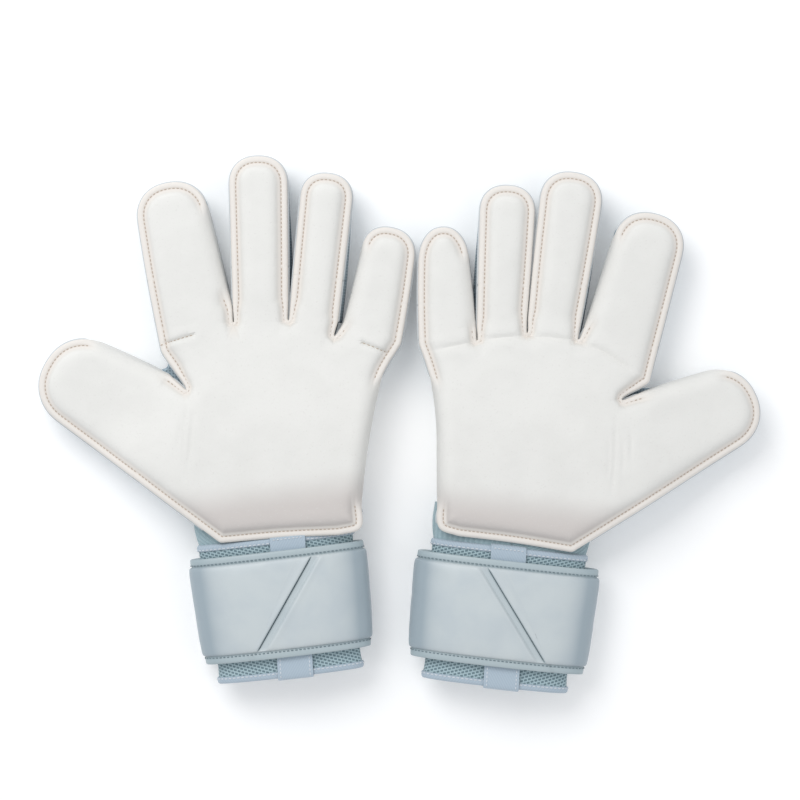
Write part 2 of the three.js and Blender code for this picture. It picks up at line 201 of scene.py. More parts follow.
class Outline:
    """A closed outline, clockwise from above, with its inward normals and what each stretch is."""

    def __init__(self, places, rolls, labels, step=1.0, soften=0.8, grow=(0.0, 0.0)):
        places, rolls, labels = self.resample(np.array(places), np.array(rolls, float), list(labels), 0.4)
        places = self.blur(places, soften / 0.4)
        rolls = self.blur(rolls[:, None], 3.0 / 0.4)[:, 0]
        self.places, self.rolls, self.labels = self.resample(places, rolls, labels, step)
        ahead = np.roll(self.places, -1, 0) - np.roll(self.places, 1, 0)
        ahead = self.blur(ahead / np.linalg.norm(ahead, axis=1)[:, None], 1.0 / step)
        ahead /= np.linalg.norm(ahead, axis=1)[:, None]
        self.ahead = ahead
        self.inward = np.column_stack([ahead[:, 1], -ahead[:, 0]])
        out = grow[0] * (1 - self.rolls) + grow[1] * self.rolls
        self.places = self.places - self.inward * out[:, None]
        self.tree = KDTree(len(self.places) * 4)
        for i, (a, b) in enumerate(zip(self.places, np.roll(self.places, -1, 0))):
            for k in range(4):
                x, y = a + (b - a) * k / 4
                self.tree.insert((x, y, 0), i * 4 + k)
        self.tree.balance()

    @staticmethod
    def blur(values, sigma):
        reach = int(3 * sigma) + 1
        weights = np.exp(-0.5 * (np.arange(-reach, reach + 1) / sigma) ** 2)
        weights /= weights.sum()
        return sum(w * np.roll(values, k, 0) for k, w in zip(range(-reach, reach + 1), weights))

    @staticmethod
    def resample(places, rolls, labels, step):
        closed = np.vstack([places, places[:1]])
        lengths = np.concatenate([[0], np.cumsum(np.linalg.norm(np.diff(closed, axis=0), axis=1))])
        count = int(round(lengths[-1] / step))
        at = np.arange(count) * lengths[-1] / count
        found = np.column_stack([np.interp(at, lengths, closed[:, k]) for k in (0, 1)])
        nearest = np.clip(np.searchsorted(lengths, at), 0, len(places) - 1)
        return found, np.interp(at, lengths, np.append(rolls, rolls[0])), [labels[i] for i in nearest]

    def measure(self, places):
        """Each place's distance from the outline, and the outline point nearest to it."""
        found = [self.tree.find((x, y, 0)) for x, y in places]
        return np.array([f[2] for f in found]), np.array([f[1] for f in found]) // 4 % len(self.places)

    def contains(self, places):
        a, b = self.places, np.roll(self.places, -1, 0)
        x, y = places[:, 0][:, None], places[:, 1][:, None]
        crosses = (a[:, 1] > y) != (b[:, 1] > y)
        slope = (b[:, 0] - a[:, 0]) / np.where(b[:, 1] == a[:, 1], 1e-12, b[:, 1] - a[:, 1])
        return (crosses & (x < a[:, 0] + slope * (y - a[:, 1]))).sum(1) % 2 == 1


def hand_outline(hand, grow=(0.0, 0.0), heel_along=None):
    """The palm's cut outline with its fingers: clockwise from the heel's outer corner."""
    fingers, heel = hand["fingers"], hand["heel"]
    places, rolls, labels = [], [], []

    def add(points, roll, label):
        points = np.atleast_2d(points)
        places.extend(points)
        rolls.extend(np.broadcast_to(roll, len(points)))
        labels.extend([label] * len(points))

    def side_of(name, side, start):
        across, along = finger_edge(fingers[name], side + "_side", start)
        low, high = ROLLED.get((name, side), (1, 0))
        return on_glove(fingers[name], across, along), ((along >= low) & (along <= high)).astype(float)

    def start_of(name, web, clear=8):
        return on_finger(fingers[name], [web])[1][0] + clear

    heel_middle = np.mean([heel["little"], heel["thumb"]], 0) + (0, 0.6)
    add(spline([heel["little"], heel_middle, heel["thumb"]]), 0, "heel")
    add([heel["thumb"]], 0, "heel")
    up, roll = side_of("thumb", "thumb", WEB)
    add(up, roll, ("thumb", "thumb"))
    for i, (name, web) in enumerate(zip(FINGERS, hand["webs"])):
        web = np.array(web, float)
        low = start_of(name, web, 12 if name == "thumb" else 8)
        down, roll = side_of(name, "little", low)
        add(down[::-1][1:], roll[::-1][1:], (name, "little"))
        after = FINGERS[i + 1]
        rise = WEB - 11 if name == "thumb" else start_of(after, web)
        up, up_roll = side_of(after, "thumb", rise)
        gap = (up[0] - down[0]) / np.linalg.norm(up[0] - down[0]) * (1.0 if name == "thumb" else 0.2)
        crotch = spline([down[2], down[0], web - gap, web + gap, up[0], up[2]])
        half = len(crotch) // 2
        inner = crotch[12:-12]
        add(inner[: half - 12], 0, (name, "little"))
        add(inner[half - 12 :], 0, (after, "thumb"))
        add(up, up_roll, (after, "thumb"))
    little = fingers["little"]
    down, _ = side_of("little", "little", WEB + 2)
    add(down[::-1][1:-1], 0, ("little", "little"))
    edge = spline([down[0], *hand["outside"][::-1], heel["corner"], heel["little"]])
    add(edge, [float(ROLLED_PALM[0] < y < ROLLED_PALM[1]) for y in edge[:, 1]], "palm")
    if heel_along is not None:
        places = [
            p if wrist_place(hand, [p])[0][1] > heel_along else onto_wrist_line(hand, p, heel_along)
            for p in places
        ]
    return Outline(places, rolls, labels, grow=grow)


# ---- The wrist's own directions: u across and v along the forearm ----

def wrist_axes(hand):
    return axes_of(hand["wrist"]["lean"])


def wrist_place(hand, places):
    side, up = wrist_axes(hand)
    away = np.atleast_2d(places)[:, :2] - np.array(hand["wrist"]["centre"])
    return np.column_stack([away @ side, away @ up])


def from_wrist(hand, points):
    """Pattern places of (u, v, height) points."""
    side, up = wrist_axes(hand)
    p = np.atleast_2d(np.asarray(points, float))
    flat = np.array(hand["wrist"]["centre"]) + p[:, :1] * side + p[:, 1:2] * up
    return np.column_stack([flat, p[:, 2]])


def onto_wrist_line(hand, place, along):
    u = wrist_place(hand, [place])[0][0]
    return from_wrist(hand, [(u, along, 0)])[0][:2]


# ---- Regions of a hand ----

KNUCKLE_SIDE, KNUCKLE_UP = axes_of(KNUCKLE_LEAN)
THUMB_BEND = (-8.0, 14.0)
GAP_SIGHT = 26.0  # how far above a web the gap's middle is found
CUT_CLEAR = 1.2  # a cut lies this far before the fabric starts to bend


def lane_lines(hand):
    """For each web, the line that parts the fingers on its two sides."""
    lines = []
    for web, name, after in zip(hand["webs"], FINGERS, FINGERS[1:]):
        web = np.array(web, float)
        sides = []
        for finger, side, sign in ((name, "little_side", 1), (after, "thumb_side", -1)):
            finger = hand["fingers"][finger]
            along = on_finger(finger, [web])[1][0] + GAP_SIGHT
            sides.append(on_glove(finger, sign * width_at(finger, side, along), along)[0])
        up = (np.array(hand["thumb_gap"]) if name == "thumb" else np.mean(sides, 0)) - web
        lines.append((web, up / np.linalg.norm(up)))
    return lines


def root_cut(hand, name):
    return np.array(hand["fingers"][name]["root"]) @ KNUCKLE_UP + hand["root_bend"][name][0] - CUT_CLEAR


def region_of(hand, places):
    """The name of the region that each place belongs to."""
    places = np.atleast_2d(places)
    beyond = []
    for web, up in lane_lines(hand):
        away = places - web
        beyond.append(up[0] * away[:, 1] - up[1] * away[:, 0] < 0)
    lane = np.where(beyond[0], 1 + sum(b.astype(int) for b in beyond[1:]), 0)
    up = places @ KNUCKLE_UP
    regions = np.full(len(places), "hand", dtype=object)
    along = on_finger(hand["fingers"]["thumb"], places)[1]
    regions[(lane == 0) & (along > THUMB_BEND[0] - CUT_CLEAR)] = "thumb"
    for k, name in enumerate(KNUCKLED, start=1):
        chosen = (lane == k) & (up > root_cut(hand, name))
        along = on_finger(hand["fingers"][name], places)[1]
        regions[chosen] = name + "_base"
        regions[chosen & (along > hand["tip_cut"][name])] = name + "_tip"
    return regions


def cut_lines(hand):
    """The lines along which the hand is parted into regions, as polylines of close points."""
    lines = []

    def add(a, b):
        count = max(2, int(np.linalg.norm(np.subtract(b, a)) / 1.1))
        lines.append(np.linspace(a, b, count))

    def crossing(line, level):
        web, up = line
        return web + up * (level - web @ KNUCKLE_UP) / (up @ KNUCKLE_UP)

    borders = lane_lines(hand)
    thumb = hand["fingers"]["thumb"]
    web, up = borders[0]
    side, ahead = axes_of(thumb["lean"])
    start = on_glove(thumb, -thumb["thumb_side"][0] - 6, THUMB_BEND[0] - CUT_CLEAR)[0]
    end = web + up * ((start - web) @ ahead) / (up @ ahead)
    add(start, end)
    add(end, web + up)
    for k, name in enumerate(KNUCKLED):
        finger, level = hand["fingers"][name], root_cut(hand, name)
        middle = np.array(finger["root"])
        middle = middle + KNUCKLE_UP * (level - middle @ KNUCKLE_UP)
        left = crossing(borders[k], level) if k else middle - KNUCKLE_SIDE * 26
        right = crossing(borders[k + 1], level) if k < 3 else middle + KNUCKLE_SIDE * 22
        add(left, right)
        if k < 3:
            add(right, crossing(borders[k + 1], root_cut(hand, KNUCKLED[k + 1])))
        cut = hand["tip_cut"][name]
        edges = [width_at(finger, s, cut) + 0.9 for s in ("thumb_side", "little_side")]
        add(on_glove(finger, -edges[0], cut)[0], on_glove(finger, edges[1], cut)[0])
    return lines


def attach(piece, region):
    """Bakes a piece's placement into its mesh, whatever its region."""
    if region == "hand":
        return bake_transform(piece)
    name, _, segment = region.partition("_")
    if region == "thumb":
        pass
    elif segment == "base":
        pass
    else:
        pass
    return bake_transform(piece)


# ---- Meshes ----

def to_row(hand, points):
    """Pattern points in millimetres as places in the row frame in metres."""
    p = np.asarray(points, float)
    return np.column_stack([hand["mirror"] * p[:, 0] + CENTRING[0], p[:, 1] + CENTRING[1], p[:, 2]]) * MM


def make_piece(name, hand, points, faces, material, crease=45, values=None, uv=None):
    """A mesh object from pattern points. values are point attributes, uv is one pair per point."""
    mesh = bpy.data.meshes.new(name)
    if hand["mirror"] < 0:
        faces = [tuple(f)[::-1] for f in faces]
    mesh.from_pydata(to_row(hand, points).tolist(), [], [tuple(int(i) for i in f) for f in faces])
    for key, data in (values or {}).items():
        mesh.attributes.new(key, "FLOAT", "POINT").data.foreach_set("value", np.asarray(data, np.float32))
    rest = mesh.attributes.new("rest_place", "FLOAT_VECTOR", "POINT")
    rest.data.foreach_set("vector", (np.asarray(points, np.float32) * MM).ravel())
    if uv is not None:
        corners = np.zeros(len(mesh.loops), np.int32)
        mesh.loops.foreach_get("vertex_index", corners)
        layer = mesh.uv_layers.new(name="cloth")
        layer.data.foreach_set("uv", (np.asarray(uv, np.float32)[corners] * MM).ravel())
    mesh.shade_smooth()
    mesh.set_sharp_from_angle(angle=math.radians(crease))
    mesh.materials.append(material)
    piece = bpy.data.objects.new(name, mesh)
    bpy.context.scene.collection.objects.link(piece)
    return piece


def hex_grid(low, high, pitch):
    rows = np.arange(low[1], high[1], pitch * math.sqrt(3) / 2)
    columns = np.arange(low[0], high[0], pitch)
    return np.array([(x + (j % 2) * pitch / 2, y) for j, y in enumerate(rows) for x in columns])


def distance_to(path, places):
    """The distance from places to a polyline."""
    best = np.full(len(places), 1e9)
    for a, b in zip(path, path[1:]):
        along = np.clip((places - a) @ (b - a) / max((b - a) @ (b - a), 1e-12), 0, 1)
        best = np.minimum(best, np.linalg.norm(places - a - along[:, None] * (b - a), axis=1))
    return best


def triangulate(hand, outline, rings, pitch, lines=(), rows=()):
    """Triangles over the inside of an outline, with rings of points along its edge, cut lines that
    no triangle crosses, and rows of points along creases."""
    points, edges = [], []

    def add_run(run, closed=False):
        first = len(points)
        points.extend(run)
        edges.extend((first + i, first + i + 1) for i in range(len(run) - 1))
        if closed:
            edges.append((first + len(run) - 1, first))

    add_run(outline.places, closed=True)
    for depth in rings:
        ring = outline.places + outline.inward * depth
        away, _ = outline.measure(ring)
        good = (away > depth - 0.05) & outline.contains(ring)
        points.extend(ring[good])
    for line in lines:
        add_run(line)
    for row in rows:
        away, _ = outline.measure(row)
        points.extend(row[outline.contains(row) & (away > rings[-1] * 0.6)])
    grid = hex_grid(outline.places.min(0), outline.places.max(0), pitch)
    grid = grid[outline.contains(grid)]
    away, _ = outline.measure(grid)
    keep = away > rings[-1] + pitch * 0.45
    for line in lines:
        keep &= distance_to(line, grid) > pitch * 0.4
    for row in rows:
        keep &= distance_to(row, grid) > pitch * 0.5
    points.extend(grid[keep])
    found = delaunay_2d_cdt([Vector(p) for p in points], edges, [], 1, 1e-4)
    places = np.array([tuple(v) for v in found[0]])
    faces = np.array([f for f in found[2] if len(f) == 3])
    centres = places[faces].mean(1)
    return places, faces[outline.contains(centres)]


def crease_rows(hand):
    """Rows of points along the creases, close together where the foam dips."""
    rows = []
    for crease in hand["creases"]:
        path = resampled(spline(crease["path"] , 16), 1.2)
        ahead = np.gradient(path, axis=0)
        ahead /= np.linalg.norm(ahead, axis=1)[:, None]
        for offset in (-1.6, -0.8, 0.0, 0.8, 1.6):
            rows.append(path + np.column_stack([ahead[:, 1], -ahead[:, 0]]) * offset * crease["width"])
    return rows


def resampled(path, step):
    """An open polyline with even steps."""
    lengths = np.concatenate([[0], np.cumsum(np.linalg.norm(np.diff(path, axis=0), axis=1))])
    at = np.linspace(0, lengths[-1], max(2, int(round(lengths[-1] / step)) + 1))
    return np.column_stack([np.interp(at, lengths, path[:, k]) for k in range(path.shape[1])])


def slab(places, faces, top, bottom, outward, bulge, levels=(0.2, 0.5, 0.8)):
    """A closed body between two heights over the same triangles, with a wall that bulges outwards."""
    used = np.unique(faces)
    number = np.full(len(places), -1)
    number[used] = np.arange(len(used))
    faces = number[faces]
    if len(faces):
        a, b, c = (places[used][faces[:, k]] for k in range(3))
        turned = np.cross(b - a, c - a) < 0
        faces[turned] = faces[turned][:, ::-1]
    count = len(used)
    low = np.column_stack([places[used], bottom[used]])
    high = np.column_stack([places[used], top[used]])
    seen = {}
    for f in faces:
        for i, j in ((f[0], f[1]), (f[1], f[2]), (f[2], f[0])):
            seen[(i, j)] = True
    rim = [(i, j) for (i, j) in seen if (j, i) not in seen]
    corners = sorted({i for e in rim for i in e})
    slot = {i: k for k, i in enumerate(corners)}
    points, loops = [high, low], []
    side = outward[used][corners]
    for share in levels:
        loop = high[corners] * (1 - share) + low[corners] * share
        loop[:, :2] += side * (bulge[used][corners] * math.sin(math.pi * share))[:, None]
        loops.append(count * 2 + len(points[2:]) * len(corners))
        points.append(loop)
    out = [tuple(f) for f in faces] + [tuple(f[::-1] + count) for f in faces]
    for i, j in rim:
        left = [i] + [base + slot[i] for base in loops] + [i + count]
        right = [j] + [base + slot[j] for base in loops] + [j + count]
        out += [(left[k], left[k + 1], right[k + 1], right[k]) for k in range(len(left) - 1)]
    where = np.concatenate([used, used] + [used[corners]] * len(levels))
    return np.vstack(points), out, where


# ---- Heights of the foam ----

def palm_rise(hand, places):
    """How far the palm stands above the fingers: it swells from the webs and sinks to the heel."""
    swell = 8.2 * smoothstep((54 - places[:, 1]) / 74)
    thumb = on_finger(hand["fingers"]["thumb"], places)[1]
    swell *= 1 - smoothstep((thumb + 22) / 44)
    along = wrist_place(hand, places)[:, 1]
    return swell - 2.2 * smoothstep((64 - along) / 32)


def foam_level(hand, places):
    x, y = places[:, 0], places[:, 1]
    ripple = 0.22 * np.sin(x / 7.3 + 1.1 * np.sin(y / 13.0)) * np.sin(y / 9.1 + 0.7 * np.sin(x / 11.0))
    return FINGER_TOP + palm_rise(hand, places) + ripple


def crease_drop(hand, places):
    drop = np.zeros(len(places))
    for crease in hand["creases"]:
        path = spline(crease["path"], 16)
        away = distance_to(path, places)
        ends = np.minimum(*(np.linalg.norm(places - path[k], axis=1) for k in (0, -1)))
        fade = 1.0 if crease.get("sewn") else smoothstep(ends / 12 + 0.12)
        drop += crease["depth"] * fade * np.exp(-((away / crease["width"]) ** 2))
        drop -= 0.3 * crease["depth"] * fade * np.exp(-(((away - 3.2 * crease["width"]) / 2.5) ** 2))
    return drop


def pinch(hand, places):
    """How much narrower the flange is near a web, where two fingers' seams meet."""
    away = np.min([np.linalg.norm(places - np.array(web, float), axis=1) for web in hand["webs"]], axis=0)
    return 1 + 0.55 * (1 - smoothstep((away - 2) / 12))


def foam_heights(hand, outline, places):
    """The foam's top and underside over places, and how much it rolls there."""
    depth, nearest = outline.measure(places)
    roll = outline.rolls[nearest]
    level = foam_level(hand, places)
    flange = np.interp(depth * pinch(hand, places), FLANGE_DEPTHS, FLANGE_DROPS)
    rolled = ROLL_RADIUS * (1 - np.sqrt(1 - np.clip(1 - depth / ROLL_RADIUS, 0, 1) ** 2))
    top = level - flange * (1 - roll) - rolled * roll
    top -= crease_drop(hand, places) * smoothstep(depth / 5)
    under_flange = level - np.interp(depth, (0, 0.5, 1.2), (6.7, 7.0, 7.2))
    under_flange += 1.2 * smoothstep((50 - wrist_place(hand, places)[:, 1]) / 10)
    tucked = np.interp(depth, (0, 0.9, 2.6, 4.6, 5.6), (9.5, 6.2, 4.4, 6.0, 9.0))
    under_roll = np.where(depth > 6.5, level - 7.2, np.where(depth > 5.5, level - 9.5, tucked))
    under = under_flange * (1 - roll) + under_roll * roll
    return top, np.minimum(under, top - 0.5), depth, nearest


# ---- Materials ----

class Finish:
    """A node material with a few short ways to add its nodes."""

    def __init__(self, name, roughness, sheen=0.0, specular=0.35):
        self.material = bpy.data.materials.new(name)
        self.material.use_nodes = True
        self.tree = self.material.node_tree
        self.shader = self.tree.nodes["Principled BSDF"]
        self.shader.inputs["Roughness"].default_value = roughness
        self.shader.inputs["Sheen Weight"].default_value = sheen
        self.shader.inputs["Specular IOR Level"].default_value = specular

    def node(self, kind, inputs=(), **settings):
        made = self.tree.nodes.new("ShaderNode" + kind)
        for key, value in settings.items():
            setattr(made, key, value)
        for key, value in dict(inputs).items():
            if isinstance(value, bpy.types.NodeSocket):
                self.tree.links.new(value, made.inputs[key])
            else:
                made.inputs[key].default_value = value
        return made

    def attribute(self, name):
        return self.node("Attribute", attribute_name=name)

    def place(self, scale=(1, 1, 1)):
        """The cloth's own place at rest, in metres."""
        found = self.attribute("rest_place").outputs["Vector"]
        return self.node("Mapping", {"Vector": found, "Scale": scale}).outputs["Vector"]

    def cloth(self, scale=(1, 1, 1), turn=0.0):
        """Place along and across the cloth, in metres."""
        found = self.node("UVMap", uv_map="cloth").outputs["UV"]
        mapping = self.node("Mapping", {"Vector": found, "Scale": scale, "Rotation": (0, 0, turn)})
        return mapping.outputs["Vector"]

    def noise(self, vector, size, detail=2.0, roughness=0.5):
        """Noise whose blobs are about size metres across."""
        inputs = {"Vector": vector, "Scale": 1 / size, "Detail": detail, "Roughness": roughness}
        return self.node("TexNoise", inputs).outputs["Fac"]

    def maths(self, operation, a, b=0.0, clamp=False):
        return self.node("Math", {0: a, 1: b}, operation=operation, use_clamp=clamp).outputs[0]

    def ramp(self, value, low, high, start=0.0, end=1.0):
        """value from low..high stretched smoothly to start..end."""
        inputs = {"Value": value, "From Min": low, "From Max": high, "To Min": start, "To Max": end}
        return self.node("MapRange", inputs, interpolation_type="SMOOTHSTEP").outputs["Result"]

    def mix(self, factor, a, b):
        """A colour between two, each a colour socket or an rgb triple."""
        made = self.node("Mix", {"Factor": factor}, data_type="RGBA")
        for socket, value in ((made.inputs[6], a), (made.inputs[7], b)):
            if isinstance(value, bpy.types.NodeSocket):
                self.tree.links.new(value, socket)
            else:
                socket.default_value = linear(value)
        return made.outputs[2]

    def colour(self, value):
        self.tree.links.new(value, self.shader.inputs["Base Color"])

    def rough(self, value):
        self.tree.links.new(value, self.shader.inputs["Roughness"])

    def bump(self, height, distance, strength=1.0, below=None):
        """Relief of the given depth in metres, over another bump if there is one."""
        inputs = {"Height": height, "Distance": distance, "Strength": strength}
        if below is not None:
            inputs["Normal"] = below
        normal = self.node("Bump", inputs).outputs["Normal"]
        self.tree.links.new(normal, self.shader.inputs["Normal"])
        return normal


def linear(rgb):
    """A screen colour from 0 to 255 as linear light."""
    parts = [c / 255 for c in rgb]
    return tuple(c / 12.92 if c <= 0.04045 else ((c + 0.055) / 1.055) ** 2.4 for c in parts) + (1.0,)


def latex_foam():
    f = Finish("latex_foam", 0.82, sheen=0.12, specular=0.2)
    place = f.place()
    seam = f.attribute("seam").outputs["Fac"]
    heel = f.attribute("heel").outputs["Fac"]
    cloudy = f.ramp(f.noise(place, 0.018, 3), 0.35, 0.7)
    base = f.mix(cloudy, (231, 230, 226), (228, 227, 223))
    # Painted shade: the foam is coloured darker towards the heel, where it rolls down away from the light.
    base = f.mix(heel, base, (209, 203, 199))
    speck = f.ramp(f.noise(place, 0.0011, 2), 0.62, 0.72, 0, 0.4)
    base = f.mix(speck, base, (218, 216, 212))
    base = f.mix(seam, base, (232, 227, 221))
    # Painted shade: the foam is coloured darker in and just inside the seam's groove, where shade falls.
    f.colour(f.mix(f.maths("MULTIPLY", f.attribute("groove_shade").outputs["Fac"], 0.22), base, (196, 184, 172)))
    f.rough(f.ramp(cloudy, 0, 1, 0.78, 0.9))
    pores = f.noise(place, 0.0006, 3, 0.6)
    fine = f.bump(pores, 0.00012, 0.55)
    f.bump(f.noise(place, 0.005, 2), 0.0005, 0.35, below=fine)
    return f.material


def thread(name, rgb):
    f = Finish(name, 0.6, sheen=0.3, specular=0.4)
    place = f.place()
    f.colour(f.mix(f.noise(place, 0.0008, 2), rgb, [c * 0.88 for c in rgb]))
    f.bump(f.noise(place, 0.00025, 1), 0.00008, 0.6)
    return f.material


def gusset_mesh():
    f = Finish("gusset_mesh", 0.85, sheen=0.25, specular=0.2)
    flat = f.cloth()
    cells = f.node("TexVoronoi", {"Vector": flat, "Scale": 1 / 0.0016, "Randomness": 0.1}, feature="F1")
    holes = f.ramp(cells.outputs["Distance"], 0.22, 0.4, 1, 0)
    shade = f.noise(f.place(), 0.02, 2)
    base = f.mix(shade, (166, 182, 191), (152, 171, 182))
    base = f.mix(holes, base, (120, 138, 150))
    f.colour(f.mix(f.attribute("flange").outputs["Fac"], base, (206, 210, 212)))
    f.bump(holes, 0.0005, -0.8)
    return f.material


def back_fabric():
    f = Finish("back_fabric", 0.7, sheen=0.3, specular=0.3)
    place = f.place()
    rib = f.node("TexWave", {"Vector": place, "Scale": 1 / 0.0052, "Distortion": 0.4}, bands_direction="X")
    pad = f.attribute("seam").outputs["Fac"]
    base = f.mix(f.noise(place, 0.03, 2), (178, 194, 200), (164, 182, 189))
    f.colour(f.mix(pad, base, (214, 220, 222)))
    fine = f.bump(f.noise(place, 0.0007, 2), 0.0001, 0.5)
    f.bump(rib.outputs["Fac"], 0.00012, 0.5, below=fine)
    return f.material


# ---- Stitches ----

def make_stitch():
    """One stitch of thread, 1 long, 1 wide and 1 high, as points and faces."""
    bpy.ops.object.select_all(action="DESELECT")
    bpy.ops.mesh.primitive_cylinder_add(vertices=6, radius=0.5, depth=0.7, rotation=(0, math.pi / 2, 0))
    bpy.ops.object.transform_apply(rotation=True)
    made = bpy.context.active_object
    bpy.ops.object.mode_set(mode="EDIT")
    bpy.ops.mesh.select_mode(type="FACE")
    for side in (-1, 1):
        bpy.ops.mesh.select_all(action="DESELECT")
        bpy.ops.object.mode_set(mode="OBJECT")
        for face in made.data.polygons:
            face.select = face.normal.x * side > 0.9
        bpy.ops.object.mode_set(mode="EDIT")
        bpy.ops.mesh.extrude_region_move(TRANSFORM_OT_translate={"value": (0.15 * side, 0, -0.06)})
        bpy.ops.transform.resize(value=(1, 0.45, 0.45), center_override=(0.5 * side, 0, -0.06))
    bpy.ops.mesh.select_all(action="SELECT")
    bpy.ops.mesh.normals_make_consistent(inside=False)
    bpy.ops.object.mode_set(mode="OBJECT")
    points = np.array([v.co for v in made.data.vertices])
    faces = [tuple(p.vertices) for p in made.data.polygons]
    bpy.data.objects.remove(made)
    return points, faces


STITCH = make_stitch()


def stitch_row(path, up, pitch=STITCH_PITCH, length=1.25, width=0.55, height=0.5):
    """Points and faces of a row of stitches along a path of 3-D points, each lying square to up."""
    lengths = np.concatenate([[0], np.cumsum(np.linalg.norm(np.diff(path, axis=0), axis=1))])
    count = int(lengths[-1] / pitch)
    if count < 1:
        return np.zeros((0, 3)), []
    at = (np.arange(count) + 0.5) * lengths[-1] / count
    centre = np.column_stack([np.interp(at, lengths, path[:, k]) for k in range(3)])
    after = np.column_stack([np.interp(at + 0.5, lengths, path[:, k]) for k in range(3)])
    before = np.column_stack([np.interp(at - 0.5, lengths, path[:, k]) for k in range(3)])
    lift = np.column_stack([np.interp(at, lengths, up[:, k]) for k in range(3)])
    ahead = after - before
    ahead /= np.linalg.norm(ahead, axis=1)[:, None]
    side = np.cross(lift, ahead)
    side /= np.linalg.norm(side, axis=1)[:, None]
    lift = np.cross(ahead, side)
    shape, faces = STITCH
    points = (
        centre[:, None]
        + shape[None, :, :1] * length * ahead[:, None]
        + shape[None, :, 1:2] * width * side[:, None]
        + shape[None, :, 2:] * height * lift[:, None]
    )
    many = [tuple(i + k * len(shape) for i in f) for k in range(count) for f in faces]
    return points.reshape(-1, 3), many


def joined(rows):
    """Several sets of points and faces as one."""
    points, faces, first = [], [], 0
    for some, own in rows:
        points.append(some)
        faces += [tuple(i + first for i in f) for f in own]
        first += len(some)
    return np.vstack(points), faces


def runs_of(mask):
    """The unbroken stretches of a closed mask, as lists of indices."""
    count = len(mask)
    if mask.all():
        return [list(range(count))]
    start = next(i for i in range(count) if not mask[i])
    runs, now = [], []
    for k in range(1, count + 1):
        i = (start + k) % count
        if mask[i]:
            now.append(i)
        elif now:
            runs.append(now)
            now = []
    return runs


# ---- Hand pieces ----

REGIONS = ["hand", "thumb"] + [f"{n}_{s}" for n in KNUCKLED for s in ("base", "tip")]


def title(hand, region, part):
    return f"{hand['name']}_{'palm' if region == 'hand' else region}_{part}"


def make_foam(hand, outline, material):
    lines = cut_lines(hand)
    places, faces = triangulate(hand, outline, EDGE_RINGS, 1.7, lines, crease_rows(hand))
    top, under, depth, nearest = foam_heights(hand, outline, places)
    outward = -outline.inward[nearest]
    on_edge = depth < 0.02
    bulge = np.where(on_edge, 0.12 + 0.35 * outline.rolls[nearest], 0.0)
    band = depth * pinch(hand, places)
    seam = (1 - smoothstep((band - 4.4) / 0.9)) * (1 - outline.rolls[nearest])
    # Painted shade: a mask for darker colour in the seam's groove at the stitches and in the dip just inside
    # it.
    groove_shade = np.exp(-(((band - 3.2) / 0.5) ** 2)) + 0.7 * np.exp(-(((band - 5.1) / 0.5) ** 2))
    groove_shade *= 1 - outline.rolls[nearest]
    along = wrist_place(hand, places)[:, 1]
    # Painted shade: a mask that colours the foam darker towards the heel.
    heel = smoothstep((68 - along) / 21)
    region = region_of(hand, places[faces].mean(1))
    for name in REGIONS:
        mine = faces[region == name]
        points, out, where = slab(places, mine, top, under, outward, bulge)
        values = {"seam": seam[where], "heel": heel[where], "groove_shade": groove_shade[where]}
        piece = make_piece(title(hand, name, "foam"), hand, points, out, material, values=values)
        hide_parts(title(hand, name, "foam"))
        attach(piece, name)


def make_seams(hand, outline, material):
    """The lockstitch rows that hold the foam's flange to the gussets."""
    inset = SEAM_DEPTH / pinch(hand, outline.places)
    line = outline.places + outline.inward * inset[:, None]
    away, _ = outline.measure(line)
    sewn = (outline.rolls < 0.35) & (away > inset - 0.1)
    top, _, _, _ = foam_heights(hand, outline, line)
    path = np.column_stack([line, top + 0.1])
    region = region_of(hand, line)
    up = np.array([0, 0, 1.0])
    for name in REGIONS:
        rows = []
        for run in runs_of(sewn & (region == name)):
            rows.append(stitch_row(path[run], np.tile(up, (len(run), 1))))
        if name != "thumb" and not name.endswith("_tip"):
            for crease in hand["creases"]:
                if not crease.get("sewn"):
                    continue
                trail = resampled(spline(crease["path"], 16), 1.0)
                chosen = trail[region_of(hand, trail) == name]
                if len(chosen) > 3:
                    height = foam_heights(hand, outline, chosen)[0]
                    thread_line = np.column_stack([chosen, height + 0.2])
                    rows.append(stitch_row(thread_line, np.tile(up, (len(chosen), 1))))
        rows = [r for r in rows if len(r[0])]
        if rows:
            points, faces = joined(rows)
            piece = make_piece(title(hand, name, "seam"), hand, points, faces, material)
            attach(piece, name)


# A gusset from its sewn flange under the foam's down to the backhand: (inset, share of the height).
GUSSET = ((3.0, 0.035), (-0.15, 0.0), (-0.6, 0.02), (-0.15, 0.075), (2.6, 0.09), (2.9, 0.16), (2.2, 0.28),
          (1.2, 0.42), (0.8, 0.58), (1.2, 0.76), (2.2, 0.92), (2.6, 1.0))


